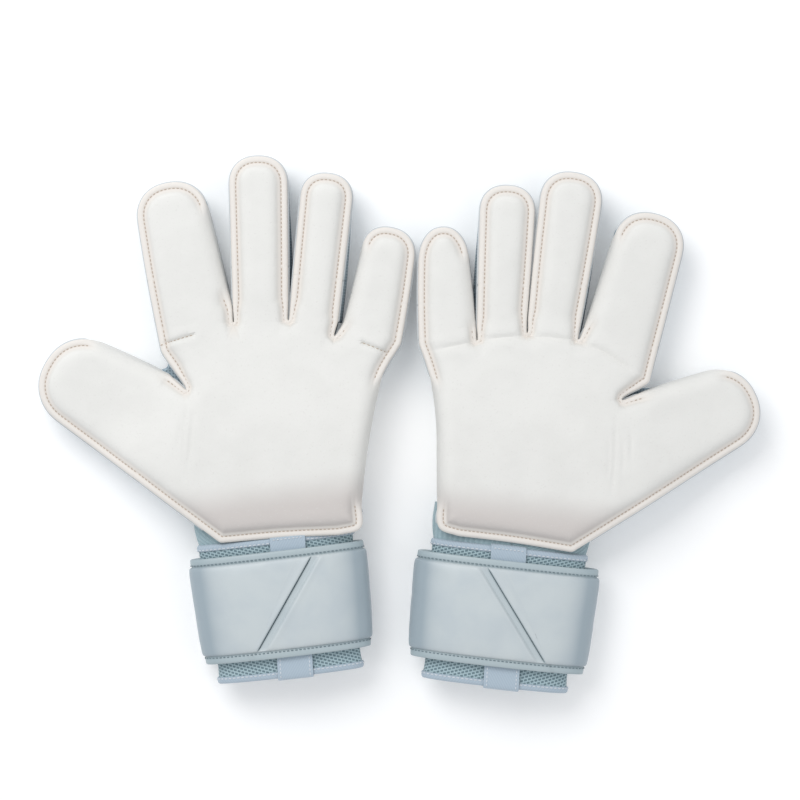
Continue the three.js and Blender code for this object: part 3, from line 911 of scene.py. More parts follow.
def make_gussets(hand, outline, material):
    """Strips of mesh between the foam's flange and the backhand, one for each unbroken stretch."""
    count = len(outline.places)
    region = region_of(hand, outline.places)
    along = wrist_place(hand, outline.places)[:, 1]
    level = foam_level(hand, outline.places) - 7.3
    proud = np.zeros(count)
    for name, side in hand["proud_gussets"]:
        finger = hand["fingers"][name]
        near_root = 1 - smoothstep((on_finger(finger, outline.places)[1] - 10) / (finger["length"] - 20))
        proud += np.array([label == (name, side) for label in outline.labels]) * (0.35 + 0.65 * near_root)
    proud = Outline.blur(proud[:, None], 4)[:, 0]
    made = {}
    for name in REGIONS:
        for run in runs_of((region == name) & (along > 43)):
            if len(run) < 11:
                continue
            run = [(run[0] - 1) % count] + run + [(run[-1] + 1) % count]
            points, uv, edge = [], [], []
            for k, i in enumerate(run):
                for j, (inset, share) in enumerate(GUSSET):
                    swell = math.sin(math.pi * share) * (j > 4)
                    depth = inset + 4.0 * outline.rolls[i] - 2.9 * proud[i] * swell
                    edge.append(float(j < 4))
                    place = outline.places[i] + outline.inward[i] * depth
                    points.append((*place, level[i] * (1 - share) + 3.4 * share))
                    uv.append((k * 1.0, share * (level[i] - 3.4)))
            wide = len(GUSSET)
            faces = [
                (k * wide + j, k * wide + j + 1, (k + 1) * wide + j + 1, (k + 1) * wide + j)
                for k in range(len(run) - 1)
                for j in range(wide - 1)
            ]
            number = made[name] = made.get(name, 0) + 1
            piece = make_piece(title(hand, name, f"gusset_{number}"), hand, points, faces, material,
                               values={"flange": edge}, uv=uv)
            wall = piece.modifiers.new("wall", "SOLIDIFY")
            wall.thickness = 0.5 * MM
            wall.offset = 0
            apply_all(piece)
            attach(piece, name)


def apply_all(piece):
    bpy.ops.object.select_all(action="DESELECT")
    piece.select_set(True)
    bpy.context.view_layer.objects.active = piece
    for modifier in list(piece.modifiers):
        bpy.ops.object.modifier_apply(modifier=modifier.name)


BACK_RINGS = (0.4, 1.0, 1.8, 2.6, 3.4, 4.6)


def back_relief(hand, places, depth):
    """Height of the backhand's outer face over the ground: a seam round the edge, and padded strips."""
    base = 0.9 + 1.6 * np.clip(1 - depth / 1.4, 0, 1) ** 2
    groove = 0.9 * np.exp(-(((depth - 3.0) / 0.55) ** 2))
    pads = np.zeros(len(places))
    for name in KNUCKLED:
        finger = hand["fingers"][name]
        across, along = on_finger(finger, places)
        half = 0.52 * min(finger["thumb_side"][1], finger["little_side"][1])
        for start, end in ((-30, -6), (0, finger["bend"] - 3), (finger["bend"] + 3, finger["length"] - 12)):
            middle, reach = (start + end) / 2, (end - start) / 2
            beyond = np.maximum(np.abs(across) / half, np.abs(along - middle) / reach)
            pads = np.maximum(pads, 1 - smoothstep((beyond - 0.82) / 0.18))
    uv = wrist_place(hand, places)
    for k in range(3):
        bow = 58 + 11 * k - (uv[:, 0] / 60) ** 2 * 12
        near = np.abs(uv[:, 1] - bow) / 3.6
        pads = np.maximum(pads, (1 - smoothstep((near - 0.7) / 0.3)) * (np.abs(uv[:, 0]) < 30))
    return np.maximum(base + groove * (depth > 1.6) - 0.9 * pads, 0.0), pads


def make_back(hand, outline, material):
    lines = cut_lines(hand)
    places, faces = triangulate(hand, outline, BACK_RINGS, 2.2, lines)
    depth, nearest = outline.measure(places)
    under, pads = back_relief(hand, places, depth)
    top = 4.0 - 0.9 * np.clip(1 - depth / 1.2, 0, 1) ** 2
    outward = -outline.inward[nearest]
    bulge = np.where(depth < 0.02, 0.25, 0.0)
    region = region_of(hand, places[faces].mean(1))
    for name in REGIONS:
        points, out, where = slab(places, faces[region == name], top, under, outward, bulge)
        part = "back_panel" if name == "hand" else name + "_back"
        piece = make_piece(f"{hand['name']}_{part}", hand, points, out, material,
                           values={"seam": pads[where]})
        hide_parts(f"{hand['name']}_{part}")
        attach(piece, name)


# ---- Wrist pieces, built round the forearm ----

SECTION_TOP, SECTION_UNDER = 2.18, 3.4  # exponents of the cross-section's upper and lower half


def section(half, low, high, count=720):
    """A cross-section of the forearm as a closed curve from the top middle towards +u, with its length."""
    angle = np.linspace(0, 2 * math.pi, count)
    power = np.where(np.cos(angle) > 0, 2 / SECTION_TOP, 2 / SECTION_UNDER)
    u = half * np.sign(np.sin(angle)) * np.abs(np.sin(angle)) ** power
    z = (low + high) / 2 + (high - low) / 2 * np.sign(np.cos(angle)) * np.abs(np.cos(angle)) ** power
    curve = np.column_stack([u, z])
    lengths = np.concatenate([[0], np.cumsum(np.linalg.norm(np.diff(curve, axis=0), axis=1))])
    return curve, lengths


def round_section(curve, lengths, around):
    """(u, z) and outward normals at distances round a section from its top middle."""
    def at(s):
        s = np.mod(s, lengths[-1])
        return np.column_stack([np.interp(s, lengths, curve[:, k]) for k in (0, 1)])

    ahead = at(around + 0.4) - at(around - 0.4)
    ahead /= np.linalg.norm(ahead, axis=1)[:, None]
    return at(around), np.column_stack([-ahead[:, 1], ahead[:, 0]])


def ring_faces(columns, rows, closed_rows=False):
    """Quads of a grid that closes on itself round its columns, faces outwards."""
    faces = []
    for i in range(columns):
        k = (i + 1) % columns
        for j in range(rows if closed_rows else rows - 1):
            m = (j + 1) % rows
            faces.append((i * rows + j, k * rows + j, k * rows + m, i * rows + m))
    return faces


STRAP_LOW, STRAP_HIGH, STRAP_HALF_LENGTH = 4.8, 31.6, 27.5
# Across the strap from its middle to its edge: (distance, share of the padding's rise, drop).
STRAP_PROFILE = ((0, 1, 0), (4, 0.99, 0), (8, 0.97, 0), (12, 0.93, 0), (15, 0.87, 0), (17.5, 0.78, 0),
                 (19.5, 0.66, 0), (21, 0.5, 0), (22.1, 0.3, 0), (22.8, 0.1, 0.2), (23.2, 0, 0.9),
                 (23.5, 0, 1.35), (23.8, 0, 1.3), (24.2, 0, 0.95), (24.9, 0, 0.8), (26, 0, 0.85),
                 (27, 0, 0.95), (27.4, 0, 1.2),
                 (27.5, 0, 1.7), (27.4, 0, 2.3))
STRAP_RISE, STRAP_SWELL = 0.8, 0.9  # the padding's height at its seams' side, and how much more it swells
STRAP_WALL = 3.6
PAD_COLUMNS, PAD_ROWS, PAD_HALF = 96, 21, 22.6  # the cloth that is simulated, and half its width
PAD_PRESSURE, PAD_FRAMES, PAD_SLACK = 4.0, 20, -0.012


def strap_half(hand, along):
    return hand["wrist"]["half"] + hand["wrist"]["flare"] * along / STRAP_HALF_LENGTH


def swollen(hand, places, faces, normals, held):
    """How far each point of a cloth, held where it is sewn, moves outwards under pressure from inside."""
    scene = bpy.context.scene
    mesh = bpy.data.meshes.new("pad_trial")
    mesh.from_pydata(to_row(hand, places).tolist(), [], faces)
    trial = bpy.data.objects.new("pad_trial", mesh)
    scene.collection.objects.link(trial)
    sewn = trial.vertex_groups.new(name="sewn")
    sewn.add([int(i) for i in np.nonzero(held)[0]], 1.0, "REPLACE")
    cloth = trial.modifiers.new("cloth", "CLOTH")
    cloth.settings.vertex_group_mass = "sewn"
    cloth.settings.use_pressure = True
    cloth.settings.uniform_pressure_force = PAD_PRESSURE
    cloth.settings.shrink_min = PAD_SLACK
    cloth.settings.effector_weights.gravity = 0
    cloth.point_cache.frame_start, cloth.point_cache.frame_end = 1, PAD_FRAMES
    for step in range(1, PAD_FRAMES + 1):
        scene.frame_set(step)
    bpy.ops.object.select_all(action="DESELECT")
    trial.select_set(True)
    bpy.context.view_layer.objects.active = trial
    bpy.ops.object.modifier_apply(modifier=cloth.name)
    after = np.array([v.co for v in trial.data.vertices])
    bpy.data.objects.remove(trial)
    scene.frame_set(1)
    moved = (after - to_row(hand, places)) / MM
    moved[:, 0] *= hand["mirror"]
    return (moved * normals).sum(1)


def pad_cloth(hand, middle, slope, about):
    """The wrap's outer cloth between its seams as a grid of swelling, from 0 to 1: (column, row)."""
    own, own_lengths = SECTIONS[hand["name"]][SECTION_REACH]
    points, normals, held = [], [], []
    side, up = wrist_axes(hand)
    for k in range(PAD_COLUMNS):
        beside = (k * about / PAD_COLUMNS + about / 2) % about - about / 2
        pull = (1 - smoothstep(abs(beside) / 46)) * slope
        rows = np.linspace(-PAD_HALF, PAD_HALF, PAD_ROWS)
        place, normal = round_section(own, own_lengths, middle[0] + beside + pull * (rows - middle[1]))
        points.append(np.column_stack([place[:, 0], rows, place[:, 1]]))
        normals.append(np.column_stack([normal[:, :1] * side, normal[:, 1]]))
        ends = np.abs(rows) > PAD_HALF - 0.1
        held.append(ends | (k == 0))
    places = from_wrist(hand, np.vstack(points))
    faces = [tuple(int(i) for i in f) for f in ring_faces(PAD_COLUMNS, PAD_ROWS)]
    if hand["mirror"] < 0:
        faces = [f[::-1] for f in faces]
    far = swollen(hand, places, faces, np.vstack(normals), np.concatenate(held))
    far = far.reshape(PAD_COLUMNS, PAD_ROWS)
    return far / far.max()


def strap_grid(hand):
    """Strap points by column round the wrist and row across it, and each one's share of the padding."""
    start, end = (np.array(p) for p in hand["wrist"]["channel"])
    middle, slope = (start + end) / 2, (end - start)[0] / (end - start)[1]
    tilt = math.cos(math.atan(slope))
    about = section(strap_half(hand, 0), STRAP_LOW, STRAP_HIGH)[1][-1]
    pad = pad_cloth(hand, middle, slope, about)
    pad_rows = np.linspace(-PAD_HALF, PAD_HALF, PAD_ROWS)

    def swell(beside, v):
        at = (beside / about * PAD_COLUMNS) % PAD_COLUMNS
        k, part = int(at), at - int(at)
        column = pad[k % PAD_COLUMNS] * (1 - part) + pad[(k + 1) % PAD_COLUMNS] * part
        return float(np.interp(v, pad_rows, column))

    near = np.array([-5.2, -4.2, -3.4, -2.8, -2.4, -2.15, -1.95, -1.75, -1.55, -1.3,
                     -0.6, 0.2, 0.9, 1.4, 1.8, 2.2, 2.7, 3.3, 4.2, 5.2])
    near = near / tilt + middle[0]
    rest = np.arange(near[-1] + 1.3, near[0] + about - 0.6, 1.3)
    columns = np.concatenate([near, rest])
    outer = [(-v, s, d) for v, s, d in STRAP_PROFILE[::-1]] + list(STRAP_PROFILE[1:])
    inner = [(v, 0, STRAP_WALL) for v in np.linspace(26.8, -26.8, 9)]
    rows = np.array(outer + inner)
    points, share, around, turned = [], [], [], []
    for s in columns:
        beside = (s - middle[0] + about / 2) % about - about / 2
        pull = (1 - smoothstep(abs(beside) / 46)) * slope
        where = s + pull * (rows[:, 0] - middle[1])
        e = beside * tilt
        for (v, rise, drop), at in zip(rows, where):
            own, own_lengths = SECTIONS[hand["name"]][int(round(v + SECTION_REACH))]
            place, normal = round_section(own, own_lengths, np.array([at]))
            (u, z), (nu, nz) = place[0], normal[0]
            body = smoothstep((23.2 - abs(v)) / 1.6) if drop < STRAP_WALL else 0
            upper = float(smoothstep((nz + 0.85) / 0.5))
            crown = (STRAP_RISE * rise + STRAP_SWELL * swell(beside, v) * (drop < 0.5)) * upper
            floor = float(smoothstep((e + 2.2) / 0.5) * (1 - smoothstep((e - 1.0) / 1.5)))
            slit = math.exp(-(((e + 1.75) / 0.32) ** 2))
            ridge = 0.3 * math.exp(-(((e + 3.0) / 0.9) ** 2)) + 0.35 * math.exp(-(((e - 3.2) / 1.1) ** 2))
            out = crown * (1 - floor) - (0.55 * floor + 0.8 * slit - ridge) * body - drop
            points.append((u + nu * out, v, z + nz * out))
            # The border strip beyond the seams has its own darker colour; the channel floor gets painted
            # shade, and its slit darker painted shade.
            share.append(max(float(smoothstep((abs(v) - 23.0) / 0.4)), 0.4 * floor * body, slit * body * 1.9))
            around.append((at, v))
            # Painted shade: how far the surface turns from facing up, used to colour the strap's sides
            # darker.
            turned.append(1 - max(nz, 0))
    return np.array(points), len(columns), len(rows), np.array(around), np.array(share), np.array(turned)


SECTION_REACH = 28  # one section is kept for each millimetre, this far either side of the strap's middle
SECTIONS = {}


def make_strap(hand, material, thread_material):
    SECTIONS[hand["name"]] = [
        section(strap_half(hand, v), STRAP_LOW, STRAP_HIGH)
        for v in range(-SECTION_REACH, SECTION_REACH + 1)
    ]
    points, columns, rows, around, border_and_channel_shade, turned = strap_grid(hand)
    faces = ring_faces(columns, rows, closed_rows=True)
    name = hand["name"] + "_strap_wrap"
    piece = make_piece(name, hand, from_wrist(hand, points), faces, material, crease=60,
                       values={"border_and_channel_shade": border_and_channel_shade, "turned": turned}, uv=around)
    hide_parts(name)
    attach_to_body(piece, hand["name"] + "_cuff")
    sewn = []
    for along in (-24.2, 24.2):
        curve, lengths = SECTIONS[hand["name"]][int(round(along + SECTION_REACH))]
        at = np.arange(-lengths[-1] * 0.36, lengths[-1] * 0.36, 1.0)
        place, normal = round_section(curve, lengths, at)
        place = place - normal * 0.75
        path = from_wrist(hand, np.column_stack([place[:, 0], np.full(len(at), along), place[:, 1]]))
        side, _ = wrist_axes(hand)
        up = np.column_stack([normal[:, :1] * side, normal[:, 1]])
        sewn.append(stitch_row(path, up, length=1.3, width=0.55))
    points, faces = joined(sewn)
    stitches = make_piece(hand["name"] + "_strap_seams", hand, points, faces, thread_material)
    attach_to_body(stitches, hand["name"] + "_cuff")


CUFF_BOTTOM, CUFF_TOP = -38.0, 34.0
CUFF_LOW, CUFF_HIGH, CUFF_WALL = 8.1, 26.2, 1.8


def cuff_half(along):
    """The cuff widens from the forearm to the hand."""
    return 37.4 + 2.9 * float(smoothstep((along + 30) / 70))


def tube(hand, profile, half_of, low, high, columns=190):
    """A ring of cloth round the forearm. profile is (along, outwards) for each row."""
    points, uv = [], []
    across = 0.0
    spots = []
    for k, (along, outwards) in enumerate(profile):
        if k:
            across += math.dist(profile[k - 1], profile[k])
        curve, lengths = section(half_of(along), low(along), high(along))
        at = np.arange(columns) / columns * lengths[-1]
        place, normal = round_section(curve, lengths, at)
        place = place + normal * outwards
        spots.append(np.column_stack([place[:, 0], np.full(columns, along), place[:, 1]]))
        uv.append(np.column_stack([at, np.full(columns, across)]))
    points = np.stack(spots, axis=1).reshape(-1, 3)
    return points, np.stack(uv, axis=1).reshape(-1, 2)


def make_cuff(hand, materials):
    name, body = hand["name"], hand["name"] + "_cuff"
    low, high = (lambda v: CUFF_LOW), (lambda v: CUFF_HIGH)
    steps = np.arange(CUFF_BOTTOM + 0.6, CUFF_TOP - 0.5, 1.4)
    wave = [(v, 0.16 * math.sin(v / 2.1)) for v in steps]
    profile = wave + [(v, n - CUFF_WALL) for v, n in wave[::-1]]
    points, uv = tube(hand, profile, cuff_half, low, high)
    faces = ring_faces(190, len(profile), closed_rows=True)
    piece = make_piece(name + "_cuff_mesh", hand, from_wrist(hand, points), faces, materials["mesh"], uv=uv)
    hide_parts(name + "_cuff_mesh")
    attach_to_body(piece, body)
    for part, edge, into in (("lower", CUFF_BOTTOM, 1), ("upper", CUFF_TOP, -1)):
        shape = [(3.1, 0.25), (3.0, 0.75), (2.6, 0.95), (1.2, 1.0), (0.4, 0.85), (-0.25, 0.3), (-0.45, -0.9),
                 (-0.25, -2.1), (0.4, -2.6), (1.2, -2.7), (2.6, -2.7), (3.1, -2.3), (2.6, -1.95), (0.4, -1.9),
                 (0.2, -0.9), (0.4, 0.2)]
        profile = [(edge + into * v, n) for v, n in shape]
        points, uv = tube(hand, profile, cuff_half, low, high)
        faces = ring_faces(190, len(profile), closed_rows=True)
        if into > 0:
            faces = [f[::-1] for f in faces]
        binding = f"{name}_cuff_{part}_binding"
        piece = make_piece(binding, hand, from_wrist(hand, points), faces, materials["tape"], uv=uv)
        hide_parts(binding)
        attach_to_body(piece, body)
        along = edge + into * 2.3
        curve, lengths = section(cuff_half(along), CUFF_LOW, CUFF_HIGH)
        at = np.arange(0, lengths[-1], 1.0)
        place, normal = round_section(curve, lengths, at)
        place = place + normal * 1.1
        side, _ = wrist_axes(hand)
        path = from_wrist(hand, np.column_stack([place[:, 0], np.full(len(at), along), place[:, 1]]))
        up = np.column_stack([normal[:, :1] * side, normal[:, 1]])
        points, faces = stitch_row(path, up, pitch=2.3, length=1.5, width=0.6)
        sewn = make_piece(f"{name}_{part}_binding_seam", hand, points, faces, materials["white"])
        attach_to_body(sewn, body)


def make_wrist_knit(hand, material):
    """The knit between cuff and hand, which widens into the glove's mouth."""
    stations = ((27.0, 39.2, 9.0, 24.6), (30.5, 39.3, 8.9, 24.5), (34.2, 39.9, 8.4, 25.3), (37, 40.6,
                                                                                            7.4, 25.2),
                (40, 41.2, 6.3, 24.9), (43, 41.5, 5.2, 24.9), (46, 41.6, 4.5, 25.0), (50, 41.4, 4.3, 25.4),
                (54, 41.2, 4.2, 26.2))
    v, half, low, high = (np.array(c) for c in zip(*stations))
    steps = np.arange(27.0, 53.9, 0.9)
    profile = [(s, 0.0) for s in steps] + [(s, -1.0) for s in steps[::-1]]
    points, uv = tube(hand, profile, lambda s: np.interp(s, v, half), lambda s: np.interp(s, v, low),
                      lambda s: np.interp(s, v, high))
    faces = ring_faces(190, len(profile), closed_rows=True)
    name = hand["name"] + "_wrist_elastic"
    piece = make_piece(name, hand, from_wrist(hand, points), faces, material, uv=uv)
    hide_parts(name)
    attach(piece, "hand")


TAB_WIDTH = 18.4
TAB_SLANT = 0.055


def make_pull_tab(hand, tape, thread_material):
    """A strip of tape along the cuff under the strap, folded over both of its ends."""
    body, middle = hand["name"] + "_cuff", hand["wrist"]["tab"]
    top = CUFF_HIGH + 1.15
    trail = [(33.5, 23.2), (34.7, 23.4), (35.1, 25), (34.9, 26.7), (34.0, top + 0.3), (30, top + 0.35),
             (24, top - 0.2),
             (0, top - 0.2), (-26, top - 0.2), (-32, top + 0.35), (-37.0, top + 0.6), (-38.6, top + 0.1),
             (-39.3, 25.4), (-38.9, 24.0), (-37.6, 23.3), (-33, 23.1)]
    bpy.ops.object.select_all(action="DESELECT")
    bpy.ops.mesh.primitive_plane_add(size=1)
    piece = bpy.context.active_object
    piece.name = hand["name"] + "_pull_tab"
    bpy.ops.object.mode_set(mode="EDIT")
    bpy.ops.mesh.select_all(action="SELECT")
    bpy.ops.transform.resize(value=(TAB_WIDTH, 0.01, 1))
    bpy.ops.transform.translate(value=(middle, trail[0][0], trail[0][1]))
    bpy.ops.mesh.select_all(action="DESELECT")
    bpy.ops.object.mode_set(mode="OBJECT")
    for edge in piece.data.edges:
        ends = [piece.data.vertices[i].co for i in edge.vertices]
        edge.select = all(p.y > trail[0][0] for p in ends)
    bpy.ops.object.mode_set(mode="EDIT")
    bpy.ops.mesh.select_mode(type="EDGE")
    for (v, z), (v2, z2) in zip(trail, trail[1:]):
        bpy.ops.mesh.extrude_region_move(TRANSFORM_OT_translate={"value": (0, v2 - v, z2 - z)})
    bpy.ops.mesh.select_all(action="SELECT")
    bpy.ops.mesh.remove_doubles(threshold=0.05)
    bpy.ops.mesh.normals_make_consistent(inside=False)
    bpy.ops.object.mode_set(mode="OBJECT")
    wall = piece.modifiers.new("wall", "SOLIDIFY")
    wall.thickness = 0.8
    wall.offset = 0
    soft = piece.modifiers.new("soft", "BEVEL")
    soft.width = 0.3
    soft.segments = 2
    smooth = piece.modifiers.new("smooth", "SUBSURF")
    smooth.levels = smooth.render_levels = 2
    apply_all(piece)
    points = np.array([v.co for v in piece.data.vertices])
    faces = [tuple(p.vertices) for p in piece.data.polygons]
    bpy.data.objects.remove(piece)
    points[:, 0] += TAB_SLANT * points[:, 1]
    uv = np.column_stack([points[:, 0], points[:, 1]])
    piece = make_piece(hand["name"] + "_pull_tab", hand, from_wrist(hand, points), faces, tape, uv=uv)
    bpy.ops.object.select_all(action="DESELECT")
    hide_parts(hand["name"] + "_pull_tab")
    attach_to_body(piece, body)
    rows = []
    for side in (-7.6, 7.6):
        run = np.array([(middle + side + TAB_SLANT * v, v, top + z)
                        for v, z in ((-38.4, 0.6), (-37, 1.05), (-34, 0.85), (-28, 0.35))])
        path = from_wrist(hand, resampled(run, 0.8))
        rows.append(stitch_row(path, np.tile((0, 0, 1.0), (len(path), 1)), pitch=2.0, length=1.3))
    run = np.array([(middle + side + TAB_SLANT * 33, v, top + 0.85) for side, v in ((-8, 33.2), (8, 33.2))])
    path = from_wrist(hand, resampled(run, 0.8))
    rows.append(stitch_row(path, np.tile((0, 0, 1.0), (len(path), 1)), pitch=1.8, length=1.2))
    points, faces = joined(rows)
    sewn = make_piece(hand["name"] + "_pull_tab_seams", hand, points, faces, thread_material)
    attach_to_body(sewn, body)


TAIL_END, TAIL_HALF, TAIL_THICK, TAIL_CORNER = 27.0, 27.0, 2.5, 9.0
TAIL_REACH = 45.0  # how far up the wrist's side the tail begins, as an angle


def make_tail(hand, material, thread_material):
    """The strap's free end: flat under the wrist, curving up at the side where it leaves the wrap."""
    start = -34.0
    bend_centre = 18.4
    arc = math.radians(TAIL_REACH) * 17.2
    corner = [(TAIL_END - TAIL_CORNER + TAIL_CORNER * math.sin(a),
               TAIL_HALF - TAIL_CORNER + TAIL_CORNER * math.cos(a))
              for a in np.linspace(0, math.pi / 2, 10)]
    places = [(start - arc, -TAIL_HALF), (start - arc, TAIL_HALF)] + corner + [(x, -y) for x,
                                                                               y in corner[::-1]]
    outline = Outline(places, [0.0] * len(places), [""] * len(places), step=1.3, soften=0.8)
    flat, faces = triangulate(hand, outline, (0.4, 1.0, 2.0, 2.9, 3.5, 4.1, 5.0, 6.5), 2.6)
    depth, nearest = outline.measure(flat)
    drops = np.interp(depth, (0, 0.5, 1.0, 2.0, 2.9, 3.5, 4.1, 5.0, 6.5, 9.0), (1.0, 0.65, 0.6, 0.6,
                                                                                0.65, 1.0, 0.5, 0.2, 0.05, 0))
    top = np.full(len(flat), TAIL_THICK) - 0.4 * np.clip(1 - depth / 1.0, 0, 1)
    outward = -outline.inward[nearest]
    points, out, where = slab(flat, faces, top, drops, outward, np.where(depth < 0.02, 0.15, 0.0))
    curled = points.copy()
    past = np.maximum(start - points[:, 0], 0) / 17.2
    taper = smoothstep(past / math.radians(TAIL_REACH))
    tip_radius = 13.6 + 0.55 * (TAIL_THICK - points[:, 2]) + 0.3
    radius = (bend_centre - points[:, 2]) * (1 - taper) + taper * tip_radius
    bent = past > 0
    curled[bent, 0] = start - radius[bent] * np.sin(past[bent])
    curled[bent, 2] = bend_centre - radius[bent] * np.cos(past[bent])
    name = hand["name"] + "_strap_tail"
    piece = make_piece(name, hand, from_wrist(hand, curled), out, material, crease=60, uv=points[:, :2])
    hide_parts(name)
    line = outline.places + outline.inward * 3.5
    line = np.vstack([line, line[:1]])
    line = line[(line[:, 0] > start)]
    path = from_wrist(hand, np.column_stack([line, np.full(len(line), 0.75)]))
    gaps = np.linalg.norm(np.diff(line, axis=0), axis=1) > 5
    cuts = [0, *(np.nonzero(gaps)[0] + 1), len(line)]
    rows = [stitch_row(path[a:b], np.tile((0, 0, -1.0), (b - a, 1))) for a, b in zip(cuts,
                                                                                     cuts[1:]) if b - a > 3]
    points, faces = joined(rows)
    sewn = make_piece(name + "_seam", hand, points, faces, thread_material)
    for part in (piece, sewn):
        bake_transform(part)


def make_thumb_web(hand, material):
    """The mesh that fills the crotch between thumb and index finger, below the foam."""
    thumb, index = hand["fingers"]["thumb"], hand["fingers"]["index"]
    web = np.array(hand["webs"][0], float)
    a = on_glove(index, 2.0 - index["thumb_side"][0], WEB - 12)[0]
    b = on_glove(thumb, thumb["little_side"][0] - 2.5, 9)[0]
    inner_a, inner_b = a + (2.5, -6), b + (1.5, -7)
    middle = (a + b) / 2 + (web - (a + b) / 2) * 0.2
    edge = spline([inner_b, b, middle, a, inner_a], 8)[8:-8]
    places = [web + (4.5, -5), *edge]
    outline = Outline(places, [0.0] * len(places), [""] * len(places), step=0.9, soften=0.9)
    flat, faces = triangulate(hand, outline, (0.4, 1.0, 1.8), 1.4)
    depth, nearest = outline.measure(flat)
    rim = np.clip(1 - depth / 1.2, 0, 1) ** 2
    dish = 1.4 * smoothstep(depth / 5)
    points, out, where = slab(flat, faces, 17.2 - 1.2 * rim - dish, 5.0 + 1.2 * rim + dish,
                              -outline.inward[nearest],
                              np.where(depth < 0.02, 0.5, 0.0))
    name = hand["name"] + "_thumb_web"
    piece = make_piece(name, hand, points, out, material, uv=points[:, :2] + points[:, 2:] * 0.5)
    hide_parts(name)
    attach(piece, "thumb")


def strap_fabric():
    f = Finish("strap_fabric", 0.42, sheen=0.2, specular=0.5)
    flat = f.cloth()
    cloudy = f.noise(flat, 0.02, 3)
    base = f.mix(f.ramp(cloudy, 0.35, 0.7), (199, 207, 209), (192, 201, 205))
    turned = f.attribute("turned").outputs["Fac"]
    # Painted shade: the strap is coloured darker where its sides turn away from the light.
    base = f.mix(f.ramp(turned, 0.0, 0.12, 0, 0.88), base, (150, 165, 174))
    border_and_channel_shade = f.attribute("border_and_channel_shade").outputs["Fac"]
    # The border strip's own darker colour, with painted shade on the channel floor.
    base = f.mix(f.ramp(border_and_channel_shade, 0, 1, 0, 0.75), base, (166, 182, 187))
    # Painted shade: the channel's slit is coloured very dark.
    f.colour(f.mix(f.ramp(border_and_channel_shade, 1.0, 1.9), base, (84, 102, 110)))
    grain = f.noise(flat, 0.0005, 2, 0.6)
    fine = f.bump(grain, 0.00008, 0.5)
    f.rough(f.ramp(cloudy, 0.3, 0.7, 0.38, 0.5))
    f.bump(f.noise(flat, 0.006, 2), 0.0003, 0.25, below=fine)
    return f.material


def spacer_mesh():
    f = Finish("spacer_mesh", 0.8, sheen=0.2, specular=0.3)
    flat = f.cloth(turn=0.35)
    sizes = {"Vector": flat, "Scale": 1.0, "Mortar Size": 0.00042, "Mortar Smooth": 0.6,
             "Brick Width": 0.0021,
             "Row Height": 0.0016}
    cells = f.node("TexBrick", sizes, offset=0.5)
    holes = f.maths("SUBTRACT", 1.0, cells.outputs["Fac"])
    base = f.mix(f.noise(flat, 0.012, 2), (180, 201, 206), (166, 189, 196))
    f.colour(f.mix(holes, base, (108, 130, 139)))
    f.bump(holes, 0.0007, -0.9)
    return f.material


def wrist_knit():
    f = Finish("wrist_knit", 0.85, sheen=0.3, specular=0.2)
    flat = f.cloth()
    ribs = f.node("TexWave", {"Vector": flat, "Scale": 1 / 0.0088, "Distortion": 0.6, "Detail": 1.0},
                  bands_direction="X")
    base = f.mix(ribs.outputs["Fac"], (146, 169, 176), (168, 189, 195))
    f.colour(f.mix(f.ramp(f.noise(flat, 0.0007, 2), 0.4, 0.65), base, (152, 174, 181)))
    fine = f.bump(f.noise(flat, 0.0006, 2), 0.00012, 0.6)
    f.bump(ribs.outputs["Fac"], 0.0003, 0.7, below=fine)
    return f.material


def woven_tape():
    f = Finish("woven_tape", 0.6, sheen=0.35, specular=0.4)
    flat = f.cloth(turn=0.6)
    twill = f.node("TexWave", {"Vector": flat, "Scale": 1 / 0.0038, "Distortion": 0.3}, bands_direction="X")
    f.colour(f.mix(twill.outputs["Fac"], (168, 184, 197), (176, 191, 203)))
    f.bump(twill.outputs["Fac"], 0.00006, 0.6)
    return f.material


def fastener(name, rgb, dark, size):
    f = Finish(name, 0.9, sheen=0.5, specular=0.1)
    place = f.node("TexCoord").outputs["Object"]
    loops = f.noise(place, size, 3, 0.7)
    f.colour(f.mix(f.ramp(loops, 0.35, 0.6), dark, rgb))
    f.bump(loops, 0.0008, 0.8)
    return f.material


def make_camera():
    camera = bpy.data.objects.new("camera", bpy.data.cameras.new("camera"))
    bpy.context.scene.collection.objects.link(camera)
    height, width = 1.2, 0.416
    camera.location = (0.00034, 0.01314, height)
    camera.data.sensor_width = 36
    camera.data.lens = 36 * (height - 0.02) / width
    bpy.context.scene.camera = camera


def make_light(name, place, size, power):
    light = bpy.data.lights.new(name, "AREA")
    light.shape = "SQUARE"
    light.size = size
    light.energy = power
    made = bpy.data.objects.new(name, light)
    made.location = place
    made.rotation_euler = (-Vector(place)).to_track_quat("-Z", "Y").to_euler()
    bpy.context.scene.collection.objects.link(made)


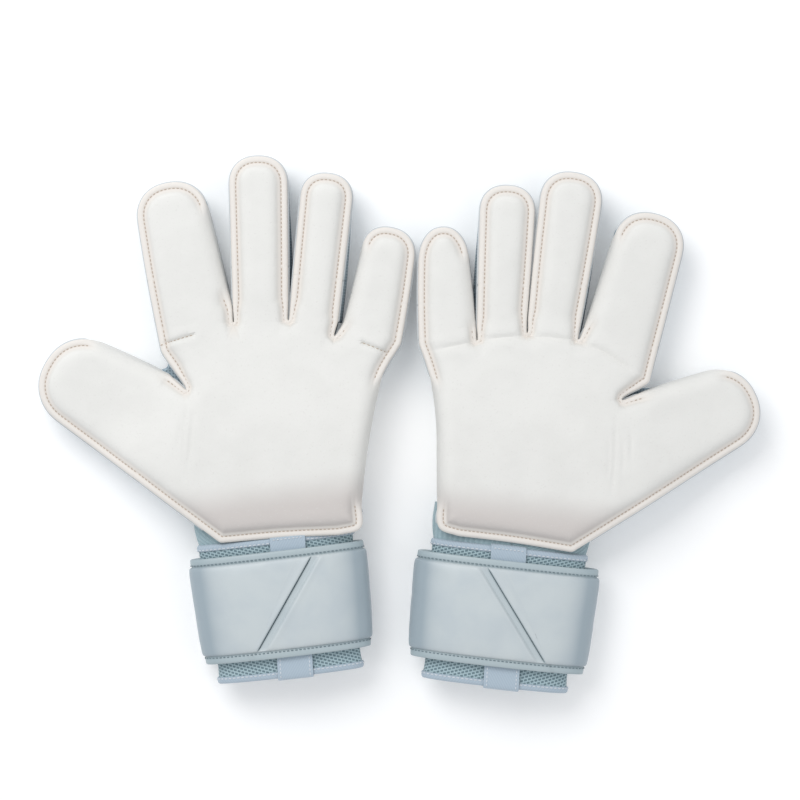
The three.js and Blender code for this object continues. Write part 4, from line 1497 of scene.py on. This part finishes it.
def make_studio():
    world = bpy.data.worlds.new("studio")
    bpy.context.scene.world = world
    world.use_nodes = True
    sky = world.node_tree.nodes["Background"]
    sky.inputs["Color"].default_value = (0.95, 0.97, 1.0, 1)
    sky.inputs["Strength"].default_value = 0.66
    make_light("key", (-0.5, 0.7, 1.05), 0.8, 8.6)
    make_light("fill", (0.8, -0.3, 1.0), 1.0, 1.6)
    bpy.ops.object.select_all(action="DESELECT")
    bpy.ops.mesh.primitive_plane_add(size=6, location=(0, 0, -0.0004))
    floor = bpy.context.active_object
    floor.name = "floor"
    paper = Finish("paper", 0.9)
    paper.shader.inputs["Base Color"].default_value = (0.95, 0.95, 0.95, 1)
    paper.shader.inputs["Emission Color"].default_value = (1, 1, 1, 1)
    paper.shader.inputs["Emission Strength"].default_value = 0.14
    floor.data.materials.append(paper.material)
    bpy.context.scene.view_settings.view_transform = "Standard"


make_camera()
make_studio()
FOAM, SEAM = latex_foam(), thread("foam_thread", (200, 184, 168))
GUSSETS, BACK = gusset_mesh(), back_fabric()
WHITE, DARK = thread("white_thread", (226, 232, 238)), thread("dark_thread", (120, 138, 146))
STRAP, TAPE, KNIT = strap_fabric(), woven_tape(), wrist_knit()
CUFF = {"mesh": spacer_mesh(), "tape": TAPE, "white": WHITE}
HOOKS = fastener("hook_tape", (150, 160, 165), (105, 115, 120), 0.0007)
LOOPS = fastener("loop_tape", (170, 184, 190), (128, 142, 150), 0.0011)

for hand in (LEFT, RIGHT):
    cut = hand_outline(hand)
    make_foam(hand, cut, FOAM)
    make_seams(hand, cut, SEAM)
    make_gussets(hand, cut, GUSSETS)
    make_back(hand, hand_outline(hand, grow=(-0.2, -2.6), heel_along=44), BACK)
    make_thumb_web(hand, GUSSETS)
    make_wrist_knit(hand, KNIT)
    make_cuff(hand, CUFF)
    make_pull_tab(hand, TAPE, WHITE)
    make_strap(hand, STRAP, DARK)
    make_tail(hand, STRAP, DARK)
    for part, material in (("hook_patch", HOOKS), ("loop_patch", LOOPS)):
        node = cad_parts[f"{hand['name']}_{part}"]
        node.data.materials.clear()
        node.data.materials.append(material)
